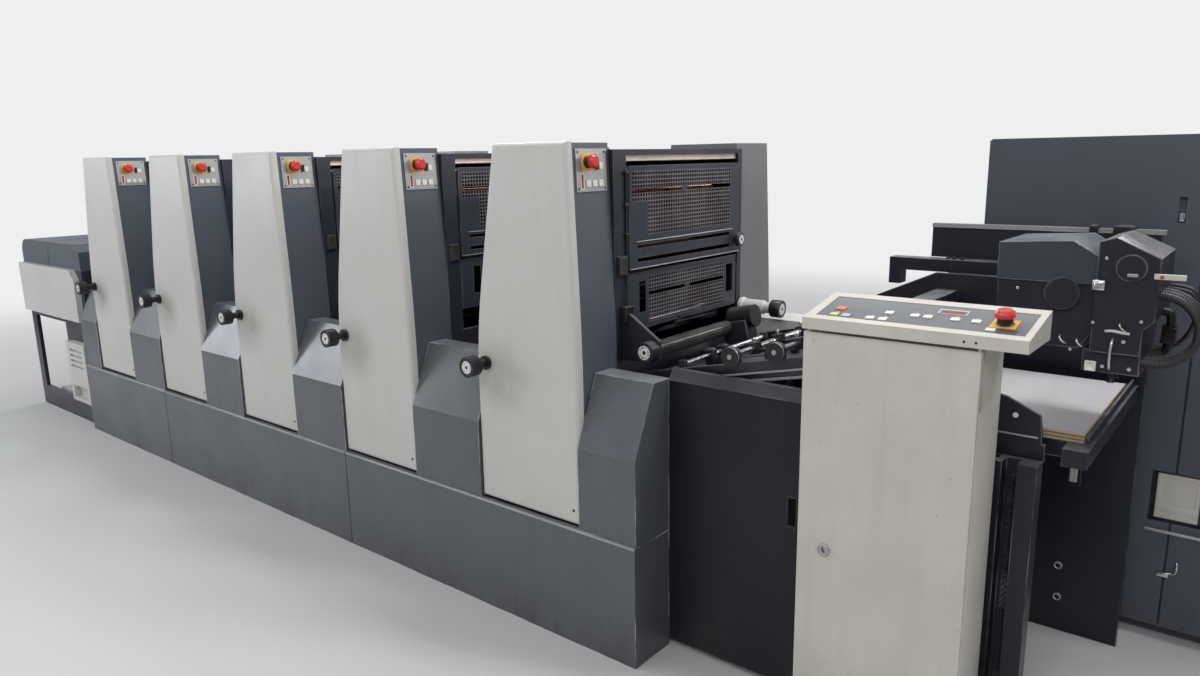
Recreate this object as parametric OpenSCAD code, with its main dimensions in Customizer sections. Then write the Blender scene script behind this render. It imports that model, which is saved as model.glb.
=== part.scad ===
// Five-unit sheet-fed offset printing press.
// X runs from the delivery to the feeder, the operator stands on the -Y side, and Z = 0 is the floor.
// The layout is drawn from the feeder end of the base and then centred on its own box.

/* [Base] */
// Height of the base under the printing units
base_h = 368; // [340:1:400]
// Depth of the base from the operator side to the drive side
base_d = 1125; // [1100:5:1150]
// Thickness of the painted base panels
base_panel_t = 20; // [10:1:30]
// Depth of the end panels seen past the corners of the base
base_end_d = 166; // [150:1:180]
// Shadow gap between two base panels
panel_gap = 3; // [2:1:6]

/* [Printing units] */
// Distance from one printing unit to the next
unit_pitch = 740; // [720:5:780]
// Width of a unit at its foot
unit_w = 412; // [390:2:440]
// Height of the front cover's top above the floor
unit_top = 1477; // [1440:1:1520]
// How far the delivery side of a unit leans in at the top
lean_left = 104; // [80:2:120]
// How far the feeder side of a unit leans in at the top
lean_right = 24; // [10:2:40]
// Height where the sides of a unit start to lean
knee_z = 900; // [840:10:960]
// Length of the bend at the knee, up and down from it
knee_bend = 150; // [60:10:240]
// Width of the step cover at the feeder end
end_step_w = 208; // [190:2:230]
// Width of the step cover at the delivery end
start_step_w = 203; // [180:1:220]

/* [Covers and housings] */
// Distance of a cover's face behind the face of the base
cover_setback = 12; // [5:1:20]
// Thickness of a front cover
cover_t = 28; // [20:1:36]
// Radius of a front cover's rounded edge
cover_edge = 12; // [6:1:16]
// Gap between the base and the front covers
cover_gap = 8; // [4:1:12]
// Depth of the operator-side housing behind the cover
housing_d = 160; // [140:2:180]
// Amount that the housing stands in from the cover's outline
housing_inset = 3; // [2:1:8]
// Depth of the drive-side housing
drive_d = 213; // [200:1:240]

/* [Side frames] */
// Thickness of the side frame on the operator side
frame_t = 60; // [50:2:70]
// Thickness of the side frame on the drive side
drive_frame_t = 24; // [20:1:40]
// Clear width between the two side frames
frame_gap = 640; // [620:1:660]
// Amount that the side frame stands in from the cover's outline
frame_inset = 7; // [6:1:12]
// Thickness of the roof and back sheets between the frames
frame_sheet_t = 14; // [8:1:20]
// Drop of the roof below the cover's top
roof_drop = 22; // [10:1:30]
// Height of the header over the guards
header_h = 35; // [30:1:45]
// Drop of the header's top below the cover's top
header_drop = 22; // [20:1:34]
// Thickness of the header
header_t = 20; // [14:1:30]
// Distance of the header's face behind the guards' side of the unit
header_setback = 18; // [14:1:30]

/* [Guards] */
// Thickness of the upper guard
upper_guard_t = 22; // [18:1:26]
// Height of the upper guard
upper_guard_h = 306; // [290:2:310]
// Thickness of the lower guard
lower_guard_t = 18; // [14:1:20]
// Height of the lower guard
lower_guard_h = 176; // [160:2:190]
// Thickness of the guards' sheet metal
guard_sheet_t = 3; // [2:0.5:5]
// Width of the rim round a guard
guard_rim = 12; // [10:1:16]
// Height of the stiff rail along the top of a guard, which holds the hinge pin
guard_rail_h = 16; // [15:1:20]
// Distance between two holes in a guard
hole_pitch = 26; // [24:1:30]
// Width of the holes in a guard
hole_w = 17; // [12:1:19]
// Distance that the handle lip stands out of the upper guard
guard_lip = 5; // [3:1:8]
// Gap between a guard and the side frames
guard_gap = 6; // [5:1:8]
// Gap between the header and the upper guard, and between the two guards
guard_split = 12; // [11:1:16]
// Diameter of a guard's hinge pin
hinge_pin_d = 10; // [8:1:12]
// Running clearance at a pin's end
run_gap = 0.3; // [0.2:0.1:0.5]

/* [Cylinders] */
// Diameter of the impression cylinder
impression_d = 270; // [240:2:280]
// Diameter of the blanket cylinder
blanket_d = 150; // [130:2:160]
// Diameter of the plate cylinder
plate_d = 150; // [130:2:160]
// Diameter of the ink form rollers
form_roller_d = 62; // [50:2:70]
// Diameter of the steel ink rollers
ink_roller_d = 84; // [70:2:90]
// Diameter of the roller journals
journal_d = 30; // [24:2:36]
// Gap between two cylinders that are thrown off
cylinder_gap = 3; // [2:1:6]
// Gap between two ink rollers
roller_gap = 20; // [16:1:24]
// Distance of the cylinders' ends from the side frames
cylinder_end_gap = 12; // [8:1:20]
// Height of the impression cylinder's axis above the floor
impression_z = 690; // [680:1:700]

/* [Hand knobs] */
// Diameter of a hand knob
knob_d = 63; // [55:1:70]
// Length of the knob's grip
knob_l = 38; // [30:1:44]
// Length from the cover to the grip
knob_neck_l = 46; // [40:1:52]
// Diameter of the neck behind the grip
knob_neck_d = 26; // [20:1:32]
// Diameter of the flange where the neck leaves the cover
knob_flange_d = 44; // [38:1:50]
// Thickness of the knob's flange
knob_flange_t = 10; // [6:1:14]
// Number of grooves round a knob's grip
knob_grooves = 18; // [12:1:24]
// Width of the grooves round a knob's grip
knob_groove_w = 4; // [3:0.5:6]
// Height of the knobs above the floor
knob_z = 820; // [790:2:830]
// Distance of a knob from the cover's edge
knob_x = 45; // [40:1:50]

/* [Step covers] */
// Height of a step cover's front edge above the floor
step_front_z = 622; // [600:2:650]
// Height of a step cover's top above the floor
step_top_z = 824; // [800:2:840]
// Distance of a step cover's face behind the face of the base
step_setback = 6; // [4:1:10]
// Depth of the slope on a step cover
step_slope_d = 88; // [70:2:100]

/* [Stop button plates] */
// Width of a stop button plate
stop_plate_w = 132; // [122:1:134]
// Height of a stop button plate
stop_plate_h = 118; // [110:2:122]
// Height of a stop button plate's lower edge above the floor
stop_plate_z = 1340; // [1310:5:1345]
// Distance of a stop button plate from the housing's front
stop_plate_y = 14; // [10:1:20]
// Thickness of a stop button plate
stop_plate_t = 3; // [2:1:5]
// Diameter of a stop button's mushroom head
stop_d = 40; // [34:1:44]
// Thickness of a stop button's mushroom head
stop_head_t = 14; // [10:1:18]
// Diameter of the neck under a stop button
stop_neck_d = 28; // [22:1:30]
// Length of the neck under a stop button
stop_neck_l = 18; // [14:1:24]
// Width of a push button's cap
cap_w = 18; // [14:1:20]
// Depth of a push button's cap
cap_d = 14; // [10:1:18]
// Height of a push button's cap
cap_h = 3; // [2:0.5:5]

/* [Feed table] */
// Length of the side panels beside the feed table
feed_l = 500; // [480:5:520]
// Height of the outer face of the side panels beside the feed table
feed_panel_z = 819; // [800:1:830]
// Rise of the bevel along the top of a side panel
feed_bevel_h = 29; // [20:1:36]
// Depth of the bevel along the top of a side panel
feed_bevel_d = 24; // [16:1:28]
// Thickness of the side panels
feed_panel_t = 18; // [14:1:24]
// Height of the side panels' lower edge above the floor
feed_panel_foot = 20; // [10:5:40]
// Distance between the outer faces of the two side panels
feed_w = 790; // [770:2:800]
// Slope of the feed table
feed_angle = 12.6; // [11:0.1:14]
// Length of the feed table along its slope
feed_board_l = 800; // [760:5:820]
// Thickness of the feed table
feed_board_t = 20; // [16:1:24]
// Height of the feed table's top where it meets the first unit
feed_board_z = 772; // [765:1:780]
// Distance of the feed table from the outer face of the operator's side panel
feed_board_inset = 60; // [54:1:66]
// Thickness of the rails along the feed table's edges
feed_rail_t = 12; // [10:1:14]
// Height of the rails along the feed table's edges
feed_rail_h = 25; // [16:1:30]
// Diameter of the cross shafts over the table
feed_shaft_d = 18; // [12:1:20]
// Height of the cross shafts over the table
feed_shaft_lift = 46; // [40:1:52]
// Diameter of the feed wheels
feed_wheel_d = 36; // [28:2:40]
// Thickness of the feed wheels
feed_wheel_t = 12; // [8:1:16]
// Diameter of the roll in front of the first unit
feed_roll_d = 44; // [36:1:50]
// Diameter of the knob on the end of the roll
feed_knob_d = 60; // [50:1:64]
// Diameter of the drive motor over the feed table
feed_motor_d = 74; // [60:2:78]
// Height of the pale cover on the drive side of the feed table
drive_cover_h = 860; // [850:1:870]

/* [Feeder] */
// Height of the feeder's drive-side frame
feeder_h = 1206; // [1190:1:1230]
// Length of the feeder's drive-side frame
feeder_l = 545; // [540:1:560]
// Length of the upper part that the drive-side frame reaches over the feed table
feeder_reach = 55; // [40:1:70]
// Height of that upper part
feeder_reach_h = 91; // [80:1:100]
// Thickness of the feeder's frames
feeder_t = 20; // [16:1:24]
// Height of the operator-side frame
feeder_low_h = 758; // [740:1:760]
// Width of the post beside the pile
post_w = 40; // [34:1:44]
// Depth of the post beside the pile
post_d = 50; // [44:1:56]
// Width of the groove that the lifting chain runs in
chain_slot = 32; // [28:1:36]
// Distance between two links of the lifting chain
chain_pitch = 15; // [12:1:18]
// Height of the pale rail on top of the drive-side frame
top_rail_h = 12; // [8:1:16]
// Height of the rods that carry the suction head
head_rod_z = 1100; // [1090:2:1110]
// Diameter of the rods that carry the suction head
head_rod_d = 30; // [24:1:36]
// Length of the suction head's main housing along the press
head_l = 203; // [196:1:210]
// Length of the suction head's outer housing along the press
head_end_l = 114; // [108:1:120]
// Width of the suction head's housings across the press
head_w = 230; // [200:5:260]
// Height of the suction head's main housing
head_h = 236; // [230:1:244]
// Height of the suction head's lower edge above the floor
head_z = 1000; // [996:1:1010]
// Diameter of the round cover on the main housing
head_cover_d = 72; // [60:1:78]
// Height of the sucker block under the outer housing
sucker_block_h = 46; // [40:1:50]
// Diameter of the suckers
sucker_d = 18; // [14:1:22]
// Outer diameter of the suction hoses
hose_d = 18; // [16:1:18]
// Bend radius of the suction hoses
hose_bend = 75; // [70:1:80]
// Distance between two suction hoses
hose_pitch = 36; // [32:1:40]

/* [Pile] */
// Size of the pile board along the press
pile_l = 376; // [360:2:390]
// Width of the pile board across the press
pile_w = 532; // [520:2:550]
// Thickness of the pile board
pile_t = 22; // [18:1:30]
// Height of the pile board's top at rest
pile_z = 815; // [790:5:840]
// Height of the carriage bars
carriage_h = 40; // [30:1:50]
// Width of the carriage bars
carriage_w = 50; // [40:1:56]
// Thickness of the slanted cheek beside the pile
cheek_t = 10; // [6:1:12]
// Clearance between the carriage and the frames
carriage_gap = 6; // [5:1:8]

/* [Console] */
// Width of the console's cabinet
console_w = 382; // [360:2:400]
// Height of the console's cabinet
console_h = 1050; // [1030:2:1070]
// Thickness of the console door
door_t = 18; // [14:1:22]
// Height of the plinth under the console door
door_bottom = 60; // [40:5:80]
// Clearance round the console door
door_gap = 8; // [7:1:10]
// Distance of the console door's hinge pin from its edges
door_pin_inset = 5; // [4:1:6]
// Thickness of the console cabinet's walls
console_wall = 20; // [10:1:30]
// Width of the console's sloping desk
desk_w = 469; // [450:1:480]
// Depth of the console's sloping desk
desk_d = 172; // [160:2:180]
// Height of the desk's front edge
desk_front_h = 26; // [20:1:34]
// Height of the desk's back edge
desk_back_h = 60; // [50:1:70]
// Width of the rim round the desk's button field
desk_rim = 22; // [16:1:30]
// Depth of the button field below the rim
desk_recess = 2; // [1:0.5:4]
// Diameter of the lock on the console door
lock_d = 22; // [18:1:26]
// Height of the lock above the floor
lock_z = 530; // [500:5:560]

/* [Cabinet] */
// Width of the electrical cabinet
cabinet_w = 1140; // [1080:10:1200]
// Depth of the electrical cabinet
cabinet_d = 430; // [400:10:480]
// Height of the electrical cabinet
cabinet_h = 1467; // [1420:5:1500]
// Thickness of the cabinet doors
cabinet_door_t = 18; // [14:1:24]
// Height of the cabinet's plinth
cabinet_plinth_h = 34; // [20:2:50]
// Gap between the cabinet doors
cabinet_seam = 6; // [3:1:8]
// Width of the recess in the cabinet door
cabinet_recess_w = 140; // [130:2:160]
// Height of the recess in the cabinet door
cabinet_recess_h = 156; // [140:2:170]
// Height of that recess above the floor
cabinet_recess_z = 364; // [350:2:380]

/* [Delivery] */
// Length of the delivery past the base
delivery_l = 860; // [820:10:900]
// Height of the delivery's side panels above the floor
delivery_top = 880; // [860:5:900]
// Height of the delivery's side panels
delivery_panel_h = 286; // [260:2:300]
// Thickness of the delivery's side panels
delivery_panel_t = 30; // [20:1:36]
// Rise of the delivery's hood over its side panels
hood_h = 140; // [120:5:160]
// Radius of the hood's rounded nose
hood_nose = 90; // [70:5:110]
// Length of the low box at the delivery's foot
delivery_box_l = 250; // [230:5:260]
// Height of the low box at the delivery's foot
delivery_box_h = 340; // [320:5:360]
// Height of the low box above the floor
delivery_box_z = 130; // [110:5:150]

/* [Hidden] */
$fn = 48;
unit_count = 5;

// Small allowance that lets cutting shapes run past a face
past = 1;

// Places across the press, from the face of the base
cover_y = cover_setback;
housing_y = cover_y + cover_t;
frame_y = housing_y + housing_d;
inner_y = frame_y + frame_t;
drive_frame_y = inner_y + frame_gap;
drive_y = drive_frame_y + drive_frame_t;
drive_end_y = drive_y + drive_d;

// Places along the press, from the feeder end of the base
unit_1_x = -end_step_w - unit_w;
base_start_x = unit_x(unit_count) - start_step_w;
delivery_x = base_start_x - delivery_l;

// Heights of a unit, from the top of the base
unit_h = unit_top - base_h;
// Height of the closed transfer sections between the units
transfer_z = step_top_z - 90;

// Guards on the feeder side of a unit
header_top = unit_top - header_drop;
upper_guard_top = header_top - header_h - guard_split;
lower_guard_top = upper_guard_top - upper_guard_h - guard_split;
guard_w = frame_gap - 2 * guard_gap;
upper_axis_z = upper_guard_top - guard_rail_h / 2;
lower_axis_z = lower_guard_top - guard_rail_h / 2;
guard_face = unit_w - 2;
lower_guard_setback = 8;
lower_guard_face = guard_face - lower_guard_setback;
// Fields of holes: distance from the guard's end, height above its lower edge, rows, margin at the far end
upper_fields = [[14, 208, 3, 52], [94, 104, 4, 52]];
lower_fields = [[108, 24, 5, 78]];
// Long slots of the upper guard and grip slots of the lower one: place, then length and height
upper_slots = [[42, 62, 536, 10], [42, 20, 536, 12]];
lower_slots = [[58, 46, 34, 95], [564, 46, 46, 95]];
// Lean of the feeder side above the knee, in degrees
lean_angle = atan(lean_right / (unit_top - knee_z));

// Axes of the cylinders and rollers in X and Z, each thrown off from the one before it
impression_at = [215, impression_z];
blanket_at = beside(impression_at, impression_d, blanket_d, cylinder_gap, 69);
plate_at = beside(blanket_at, blanket_d, plate_d, cylinder_gap, 92);
low_form_at = beside(plate_at, plate_d, form_roller_d, cylinder_gap, 67);
ink_at = beside(low_form_at, form_roller_d, ink_roller_d, roller_gap, 85);
high_form_at = beside(ink_at, ink_roller_d, form_roller_d, roller_gap, 85);
back_ink_at = beside(ink_at, ink_roller_d, ink_roller_d, roller_gap, 175);

// Feed table, from its lower end at the first unit
board_x = -end_step_w + 20;
board_y = base_end_d + feed_board_inset;
board_end_y = base_end_d + feed_w - feed_panel_t;
// Places along the table's slope
roll_x = 99;
roll_lift = 84;
roll_end_y = 660;
motor_x = 88;
motor_lift = 106;
motor_y = 722;
shaft_xs = [379, 515, 650];
wheel_ys = [330, 470, 620, 790];
// Clamp of a wheel's arm on its shaft, and the arm's reach to the wheel
clamp_w = 30;
clamp_half = 16;
wheel_reach = 40;
// Far end and edge radius of the pale cover beside the table
drive_cover_short = 180;
drive_cover_r = 40;
// Plain length of a knob's grip behind its grooves, the rim round its dial, and the dial's depth
knob_plain_l = 8;
knob_rim = 7;
dial_depth = 2;

// Console and feeder places
console_x = 485;
console_y = 0;
desk_y = -10;
desk_angle = atan((desk_back_h - desk_front_h) / desk_d);
console_back = base_end_d;
door_end_x = console_x + console_w;
cabinet_x = 561;
delivery_frame_y = 40;
delivery_plate_t = 20;
delivery_beam = 60;
vent_rows = 4;
vent_pitch = 30;
cabinet_y = 1070;
pile_x = 633;
pile_y = 320;
pile_end_x = pile_x + pile_l;
head_x = 797;
head_y = 350;
head_end_x = head_x + head_l + head_end_l;
feeder_x = 500;
feeder_y = 200;
feeder_drive_y = 950;
post_x = 905;
post_back = feeder_y + post_d;
carriage_y = post_back + carriage_gap;
rod_xs = [head_x + 36, head_x + 120];
// Height of the head's upper shell, and the suckers' places across it
head_shell_h = 90;
sucker_ys = [20, 70, 120, 165];
// Beams across the feeder, the bar over the table and the cheek beside it
beam_w = 60;
beam_top = 1030;
bar_x = 334;
bar_end_x = 700;
table_cheek_y = 850;
// Pull and bosses on the drive-side frame
pull_x = 876;
pull_z = 470;
boss_places = [[877, 212], [882, 112]];
boss_d = 22;
// Low end of the hoses, on the sucker block, and their straight run to it
hose_z = head_z - sucker_block_h / 2;
hose_run = 20;

// Slots for the pulls of the cabinet doors
pull_slot_w = 18;
pull_slot_z = 1230;
pull_slot_h = 70;
// Lock of the console door
lock_x = 67;
// Buttons on the desk: place along it and up its slope, from its front corner
desk_caps = [
  [60, 36], [87, 36], [141, 36], [169, 36], [387, 39],
  [60, 74], [169, 76], [225, 74], [252, 74], [308, 75], [350, 75]
];
desk_stop = [404, 78];
// Buttons on a stop plate: place across it and up it
plate_caps = [[49, 23], [76, 23], [103, 23], [104, 71]];
plate_stop = [48, 82];

// Centre of the whole press, which becomes the origin
cabinet_end_x = cabinet_x + cabinet_w;
cabinet_back_y = cabinet_y + cabinet_door_t + cabinet_d;
knob_front_y = cover_y - run_gap - knob_neck_l - knob_l;
mid_x = (delivery_x + cabinet_end_x) / 2;
mid_y = (knob_front_y + cabinet_back_y) / 2;

cream = [0.77, 0.765, 0.745];
console_cream = [0.79, 0.775, 0.725];
housing_grey = [0.33, 0.36, 0.4];
base_grey = [0.34, 0.355, 0.37];
dark_grey = [0.17, 0.18, 0.22];
panel_black = [0.12, 0.125, 0.16];
cabinet_grey = [0.26, 0.265, 0.28];
steel = [0.7, 0.7, 0.7];
copper = [0.72, 0.5, 0.38];
wood = [0.8, 0.76, 0.68];
black = [0.06, 0.06, 0.065];
red = [0.75, 0.15, 0.15];
white = [0.88, 0.88, 0.86];

function unit_x(k) = unit_1_x - (k - 1) * unit_pitch;
function beside(at, d1, d2, gap, turn) = at + ((d1 + d2) / 2 + gap) * [cos(turn), sin(turn)];
function curve(a, b, c, n = 6) =
  [for (i = [0:n]) let (t = i / n) (1 - t) * (1 - t) * a + 2 * t * (1 - t) * b + t * t * c];
function along(a, b, s) = a + (b - a) * s / norm(b - a);

// Outline of a unit seen from the operator side: upright at the foot, leaning in above the knee
function unit_outline(inset, drop, foot = 0, lean_in = lean_right) =
  let (
    top = unit_h - drop,
    knee = knee_z - base_h,
    kl = [inset, knee],
    kr = [unit_w - inset, knee],
    tl = [inset + lean_left * (top - knee) / (unit_h - knee), top],
    tr = [unit_w - inset - lean_in * (top - knee) / (unit_h - knee), top]
  )
  concat(
    [[inset, foot]],
    curve([inset, knee - knee_bend], kl, along(kl, tl, knee_bend)),
    [tl, tr],
    lean_in == 0 ? [] : curve(along(kr, tr, knee_bend), kr, [unit_w - inset, knee - knee_bend]),
    [[unit_w - inset, foot]]
  );

module centred() translate([-mid_x, -mid_y, 0]) children();
module box(x0, x1, y0, y1, z0, z1) translate([x0, y0, z0]) cube([x1 - x0, y1 - y0, z1 - z0]);
module rod(x, z, d, y0, y1) translate([x, y1, z]) rotate([90, 0, 0]) cylinder(d = d, h = y1 - y0);
// Extrudes an outline drawn in X and Z along Y
module extrude_y(y0, y1) translate([0, y1, 0]) rotate([90, 0, 0]) linear_extrude(y1 - y0) children();
// Extrudes an outline drawn in Y and Z along X
module extrude_x(x0, x1) translate([x0, 0, 0]) rotate([90, 0, 90]) linear_extrude(x1 - x0) children();

// Cast bed that carries the units, with the closed transfer sections between them
module base_bed() color(dark_grey) union() {
  box(base_start_x + base_panel_t, -base_panel_t, base_panel_t, base_d, 0, base_h);
  for (k = [0:unit_count]) {
    gap_x0 = k == 0 ? -end_step_w : k == unit_count ? base_start_x + base_panel_t : unit_x(k + 1) + unit_w;
    gap_x1 = k == 0 ? -base_panel_t : unit_x(k);
    box(gap_x0, gap_x1, base_end_d, drive_y, base_h, transfer_z);
  }
}

// Painted panels along the operator side, turned in at both ends
module base_panels() color(base_grey) {
  seams = [base_start_x, unit_x(4), unit_x(2), 0];
  for (i = [0:2]) {
    left = seams[i] + (i == 0 ? 0 : panel_gap / 2);
    right = seams[i + 1] - (i == 2 ? 0 : panel_gap / 2);
    union() {
      box(left, right, 0, base_panel_t, 0, base_h);
      if (i == 0) box(left, left + base_panel_t, 0, base_end_d, 0, base_h);
      if (i == 2) box(right - base_panel_t, right, 0, base_end_d, 0, base_h);
    }
  }
}

// Grey step covers between the units and at both ends of the row
module step_covers() color(housing_grey) for (k = [0:unit_count]) {
  x0 = k == unit_count ? base_start_x : k == 0 ? -end_step_w : unit_x(k + 1) + unit_w;
  x1 = k == 0 ? 0 : unit_x(k);
  extrude_x(x0 + panel_gap / 2, x1 - (k == 0 ? 0 : panel_gap / 2)) polygon([
    [step_setback, base_h],
    [step_setback, step_front_z],
    [step_setback + step_slope_d, step_top_z],
    [base_end_d, step_top_z],
    [base_end_d, base_h]
  ]);
}

// Pale front cover of a unit, with its face edges rounded
module cover_layer(depth, inset)
  extrude_y(cover_y + depth, cover_y + cover_t) polygon(unit_outline(inset, inset, cover_gap + inset));
module unit_cover(k) color(cream) translate([unit_x(k), 0, base_h]) hull()
  for (turn = [0:30:90]) cover_layer(cover_edge * (1 - sin(turn)), cover_edge * (1 - cos(turn)));

// Grey housing behind the front cover
module unit_housing(k) color(housing_grey) translate([unit_x(k), 0, base_h])
  extrude_y(housing_y, frame_y) polygon(unit_outline(housing_inset, housing_inset));

// Pair of side frames of one unit, joined by the roof and back sheet and by the header
module unit_frame(k) translate([unit_x(k), 0, base_h]) union() {
  extrude_y(frame_y, inner_y) polygon(unit_outline(frame_inset, roof_drop, 0, 0));
  extrude_y(drive_frame_y, drive_y) polygon(unit_outline(frame_inset, roof_drop, 0, 0));
  extrude_y(inner_y, drive_frame_y) difference() {
    polygon(unit_outline(frame_inset, roof_drop, 0, 0));
    polygon(unit_outline(frame_inset + frame_sheet_t, roof_drop + frame_sheet_t, -past, -2 * unit_w));
  }
  box(unit_w - header_setback - header_t, unit_w - header_setback, inner_y, drive_frame_y,
      header_top - header_h - base_h, unit_h - roof_drop);
  // Latch between the two guards
  box(unit_w - frame_inset - past, unit_w, frame_y + 12, inner_y - 10,
      lower_guard_top - base_h, lower_guard_top + 58 - base_h);
}
// Cheek that holds the operator's end of the roll in front of the first unit
module roll_cheek() extrude_y(inner_y - 22, inner_y - 10)
  polygon([[-end_step_w - frame_inset - past, 830], [-end_step_w - frame_inset - past, 975],
           [-190, 975], [-84, 905], [-84, 850], [-110, 836]]);
module unit_frames() color(dark_grey) {
  union() {
    unit_frame(1);
    roll_cheek();
  }
  for (k = [2:unit_count]) unit_frame(k);
}

// Housing on the drive side of each unit
module drive_housings() color(housing_grey) for (k = [1:unit_count])
  translate([unit_x(k), 0, base_h]) extrude_y(drive_y, drive_end_y)
    polygon(unit_outline(housing_inset, housing_inset));

// Black hand knob on a turned neck, its grip grooved along its length
module unit_knob(k) {
  x = unit_x(k) + knob_x;
  face = cover_y - run_gap;
  grip = face - knob_neck_l;
  color(black) difference() {
    union() {
      rod(x, knob_z, knob_flange_d, face - knob_flange_t, face);
      rod(x, knob_z, knob_neck_d, grip - past, face - past);
      rod(x, knob_z, knob_d, grip - knob_l, grip);
    }
    for (turn = [0:360 / knob_grooves:359])
      rod(x + knob_d / 2 * cos(turn), knob_z + knob_d / 2 * sin(turn), knob_groove_w,
          grip - knob_l - past, grip - knob_plain_l);
    rod(x, knob_z, knob_d - 2 * knob_rim, grip - knob_l - past, grip - knob_l + dial_depth);
  }
}

// Frame of a stop button plate, on the leaning side of a unit's housing: X stands out of the plate
module on_plate(k)
  translate([unit_x(k) + unit_w - housing_inset, housing_y + stop_plate_y, knee_z])
    rotate([0, -lean_angle, 0]) translate([run_gap, 0, stop_plate_z - knee_z]) children();
module stop_plates() color(steel) for (k = [1:unit_count])
  on_plate(k) cube([stop_plate_t, stop_plate_w, stop_plate_h]);

// Frame of the desk's button field: Z stands out of it
module on_desk()
  translate([console_x, desk_y, console_h + desk_front_h]) rotate([desk_angle, 0, 0]) children();

// Red mushroom heads of the stop buttons, with their necks
module stop_head() {
  rim = stop_head_t * 0.6;
  cylinder(d = stop_neck_d, h = stop_neck_l + past);
  translate([0, 0, stop_neck_l]) cylinder(d = stop_d, h = rim);
  translate([0, 0, stop_neck_l + rim - past])
    cylinder(d1 = stop_d, d2 = stop_d * 0.7, h = stop_head_t - rim + past);
}
module stop_heads() color(red) {
  for (k = [1:unit_count]) on_plate(k)
    translate([stop_plate_t + run_gap, plate_stop[0], plate_stop[1]]) rotate([0, 90, 0]) stop_head();
  on_desk() translate([desk_stop[0], desk_stop[1], run_gap - desk_recess]) stop_head();
}

// White push buttons on the stop plates and on the desk
module control_buttons() color(white) {
  for (k = [1:unit_count], at = plate_caps) on_plate(k)
    translate([stop_plate_t + run_gap, at[0] - cap_w / 2, at[1] - cap_w / 2])
      cube([cap_h, cap_w, cap_w]);
  for (at = desk_caps) on_desk()
    translate([at[0] - cap_w / 2, at[1] - cap_d / 2, run_gap - desk_recess])
      cube([cap_w, cap_d, cap_h]);
}

// Sheet metal guard with a rim at the back, a rail for its pin, and fields of holes or of plain slots
module guard(t, h, fields, slots, plain) difference() {
  cube([t, guard_w, h]);
  translate([-past, guard_rim, guard_rim])
    cube([t - guard_sheet_t + past, guard_w - 2 * guard_rim, h - guard_rim - guard_rail_h]);
  for (f = fields) {
    columns = floor((guard_w - f[0] - f[3]) / hole_pitch);
    for (row = [0:f[2] - 1]) translate([0, f[0], f[1] + row * hole_pitch])
      if (plain) cube([t + past, columns * hole_pitch - hole_pitch + hole_w, hole_w]);
      else for (i = [0:columns - 1]) translate([0, i * hole_pitch, 0]) cube([t + past, hole_w, hole_w]);
  }
  for (s = slots) translate([0, s[0], s[1]]) cube([t + past, s[2], s[3]]);
}
module upper_guard(k, plain) {
  x = unit_x(k) + guard_face - upper_guard_t;
  translate([x, inner_y + guard_gap, upper_guard_top - upper_guard_h]) {
    guard(upper_guard_t, upper_guard_h, upper_fields, upper_slots, plain);
    cube([upper_guard_t + guard_lip, guard_w, guard_sheet_t]);
  }
  rod(x + upper_guard_t / 2, upper_axis_z, hinge_pin_d, inner_y + run_gap, drive_frame_y - run_gap);
}
module lower_guard(k, plain) {
  x = unit_x(k) + lower_guard_face - lower_guard_t;
  translate([x, inner_y + guard_gap, lower_guard_top - lower_guard_h])
    guard(lower_guard_t, lower_guard_h, lower_fields, lower_slots, plain);
  rod(x + lower_guard_t / 2, lower_axis_z, hinge_pin_d, inner_y + run_gap, drive_frame_y - run_gap);
}
module unit_1_upper_guard() color(dark_grey) union() upper_guard(1, false);
module unit_1_lower_guard() color(dark_grey) union() lower_guard(1, false);
module inner_guards() color(dark_grey) for (k = [2:unit_count]) {
  union() upper_guard(k, true);
  union() lower_guard(k, true);
}

// Impression, blanket and plate cylinders between the side frames
module journalled(at, d) union() {
  rod(at[0], at[1], d, inner_y + cylinder_end_gap, drive_frame_y - cylinder_end_gap);
  rod(at[0], at[1], journal_d, inner_y, drive_frame_y);
}
module press_cylinders() color(steel) for (k = [1:unit_count]) translate([unit_x(k), 0, 0]) {
  journalled(impression_at, impression_d);
  journalled(blanket_at, blanket_d);
  journalled(plate_at, plate_d);
}
module ink_rollers() color(copper) for (k = [1:unit_count]) translate([unit_x(k), 0, 0]) {
  journalled(low_form_at, form_roller_d);
  journalled(ink_at, ink_roller_d);
  journalled(high_form_at, form_roller_d);
  journalled(back_ink_at, ink_roller_d);
}

// Dark side panels beside the feed table, the near one bevelled along its top
module feed_side_panels() color(panel_black) {
  inner = base_end_d + feed_panel_t;
  bevel = base_end_d + feed_bevel_d;
  top = feed_panel_z + feed_bevel_h;
  extrude_x(0, feed_l) polygon([
    [base_end_d, feed_panel_foot], [base_end_d, feed_panel_z], [bevel, top], [bevel + 12, top],
    [bevel + 12, top - 8], [inner, feed_panel_z - 8], [inner, feed_panel_foot]
  ]);
  box(0, feed_l, board_end_y, board_end_y + feed_panel_t, feed_panel_foot, feed_panel_z);
}

// Pale cover on the drive side of the feed table, its outer edge rounded
module feed_drive_cover() color(cream) {
  near = board_end_y + feed_panel_t + run_gap;
  far = drive_end_y - 10;
  foot = base_h + run_gap;
  extrude_x(-end_step_w, feed_l - drive_cover_short) polygon(concat(
    [[near, foot], [near, drive_cover_h]],
    curve([far - drive_cover_r, drive_cover_h], [far, drive_cover_h], [far, drive_cover_h - drive_cover_r]),
    [[far, foot]]
  ));
}

// Frame of the sloping feed table: X runs up its slope and Z stands out of it
module on_table() translate([board_x, 0, feed_board_z]) rotate([0, -feed_angle, 0]) children();
module table_post(x, y, lift) difference() {
  box(x - 16, x + 16, y, y + feed_rail_t, -past, lift + 16);
  rod(x, lift, feed_shaft_d + 2 * run_gap, y - past, y + feed_rail_t + past);
}
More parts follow.
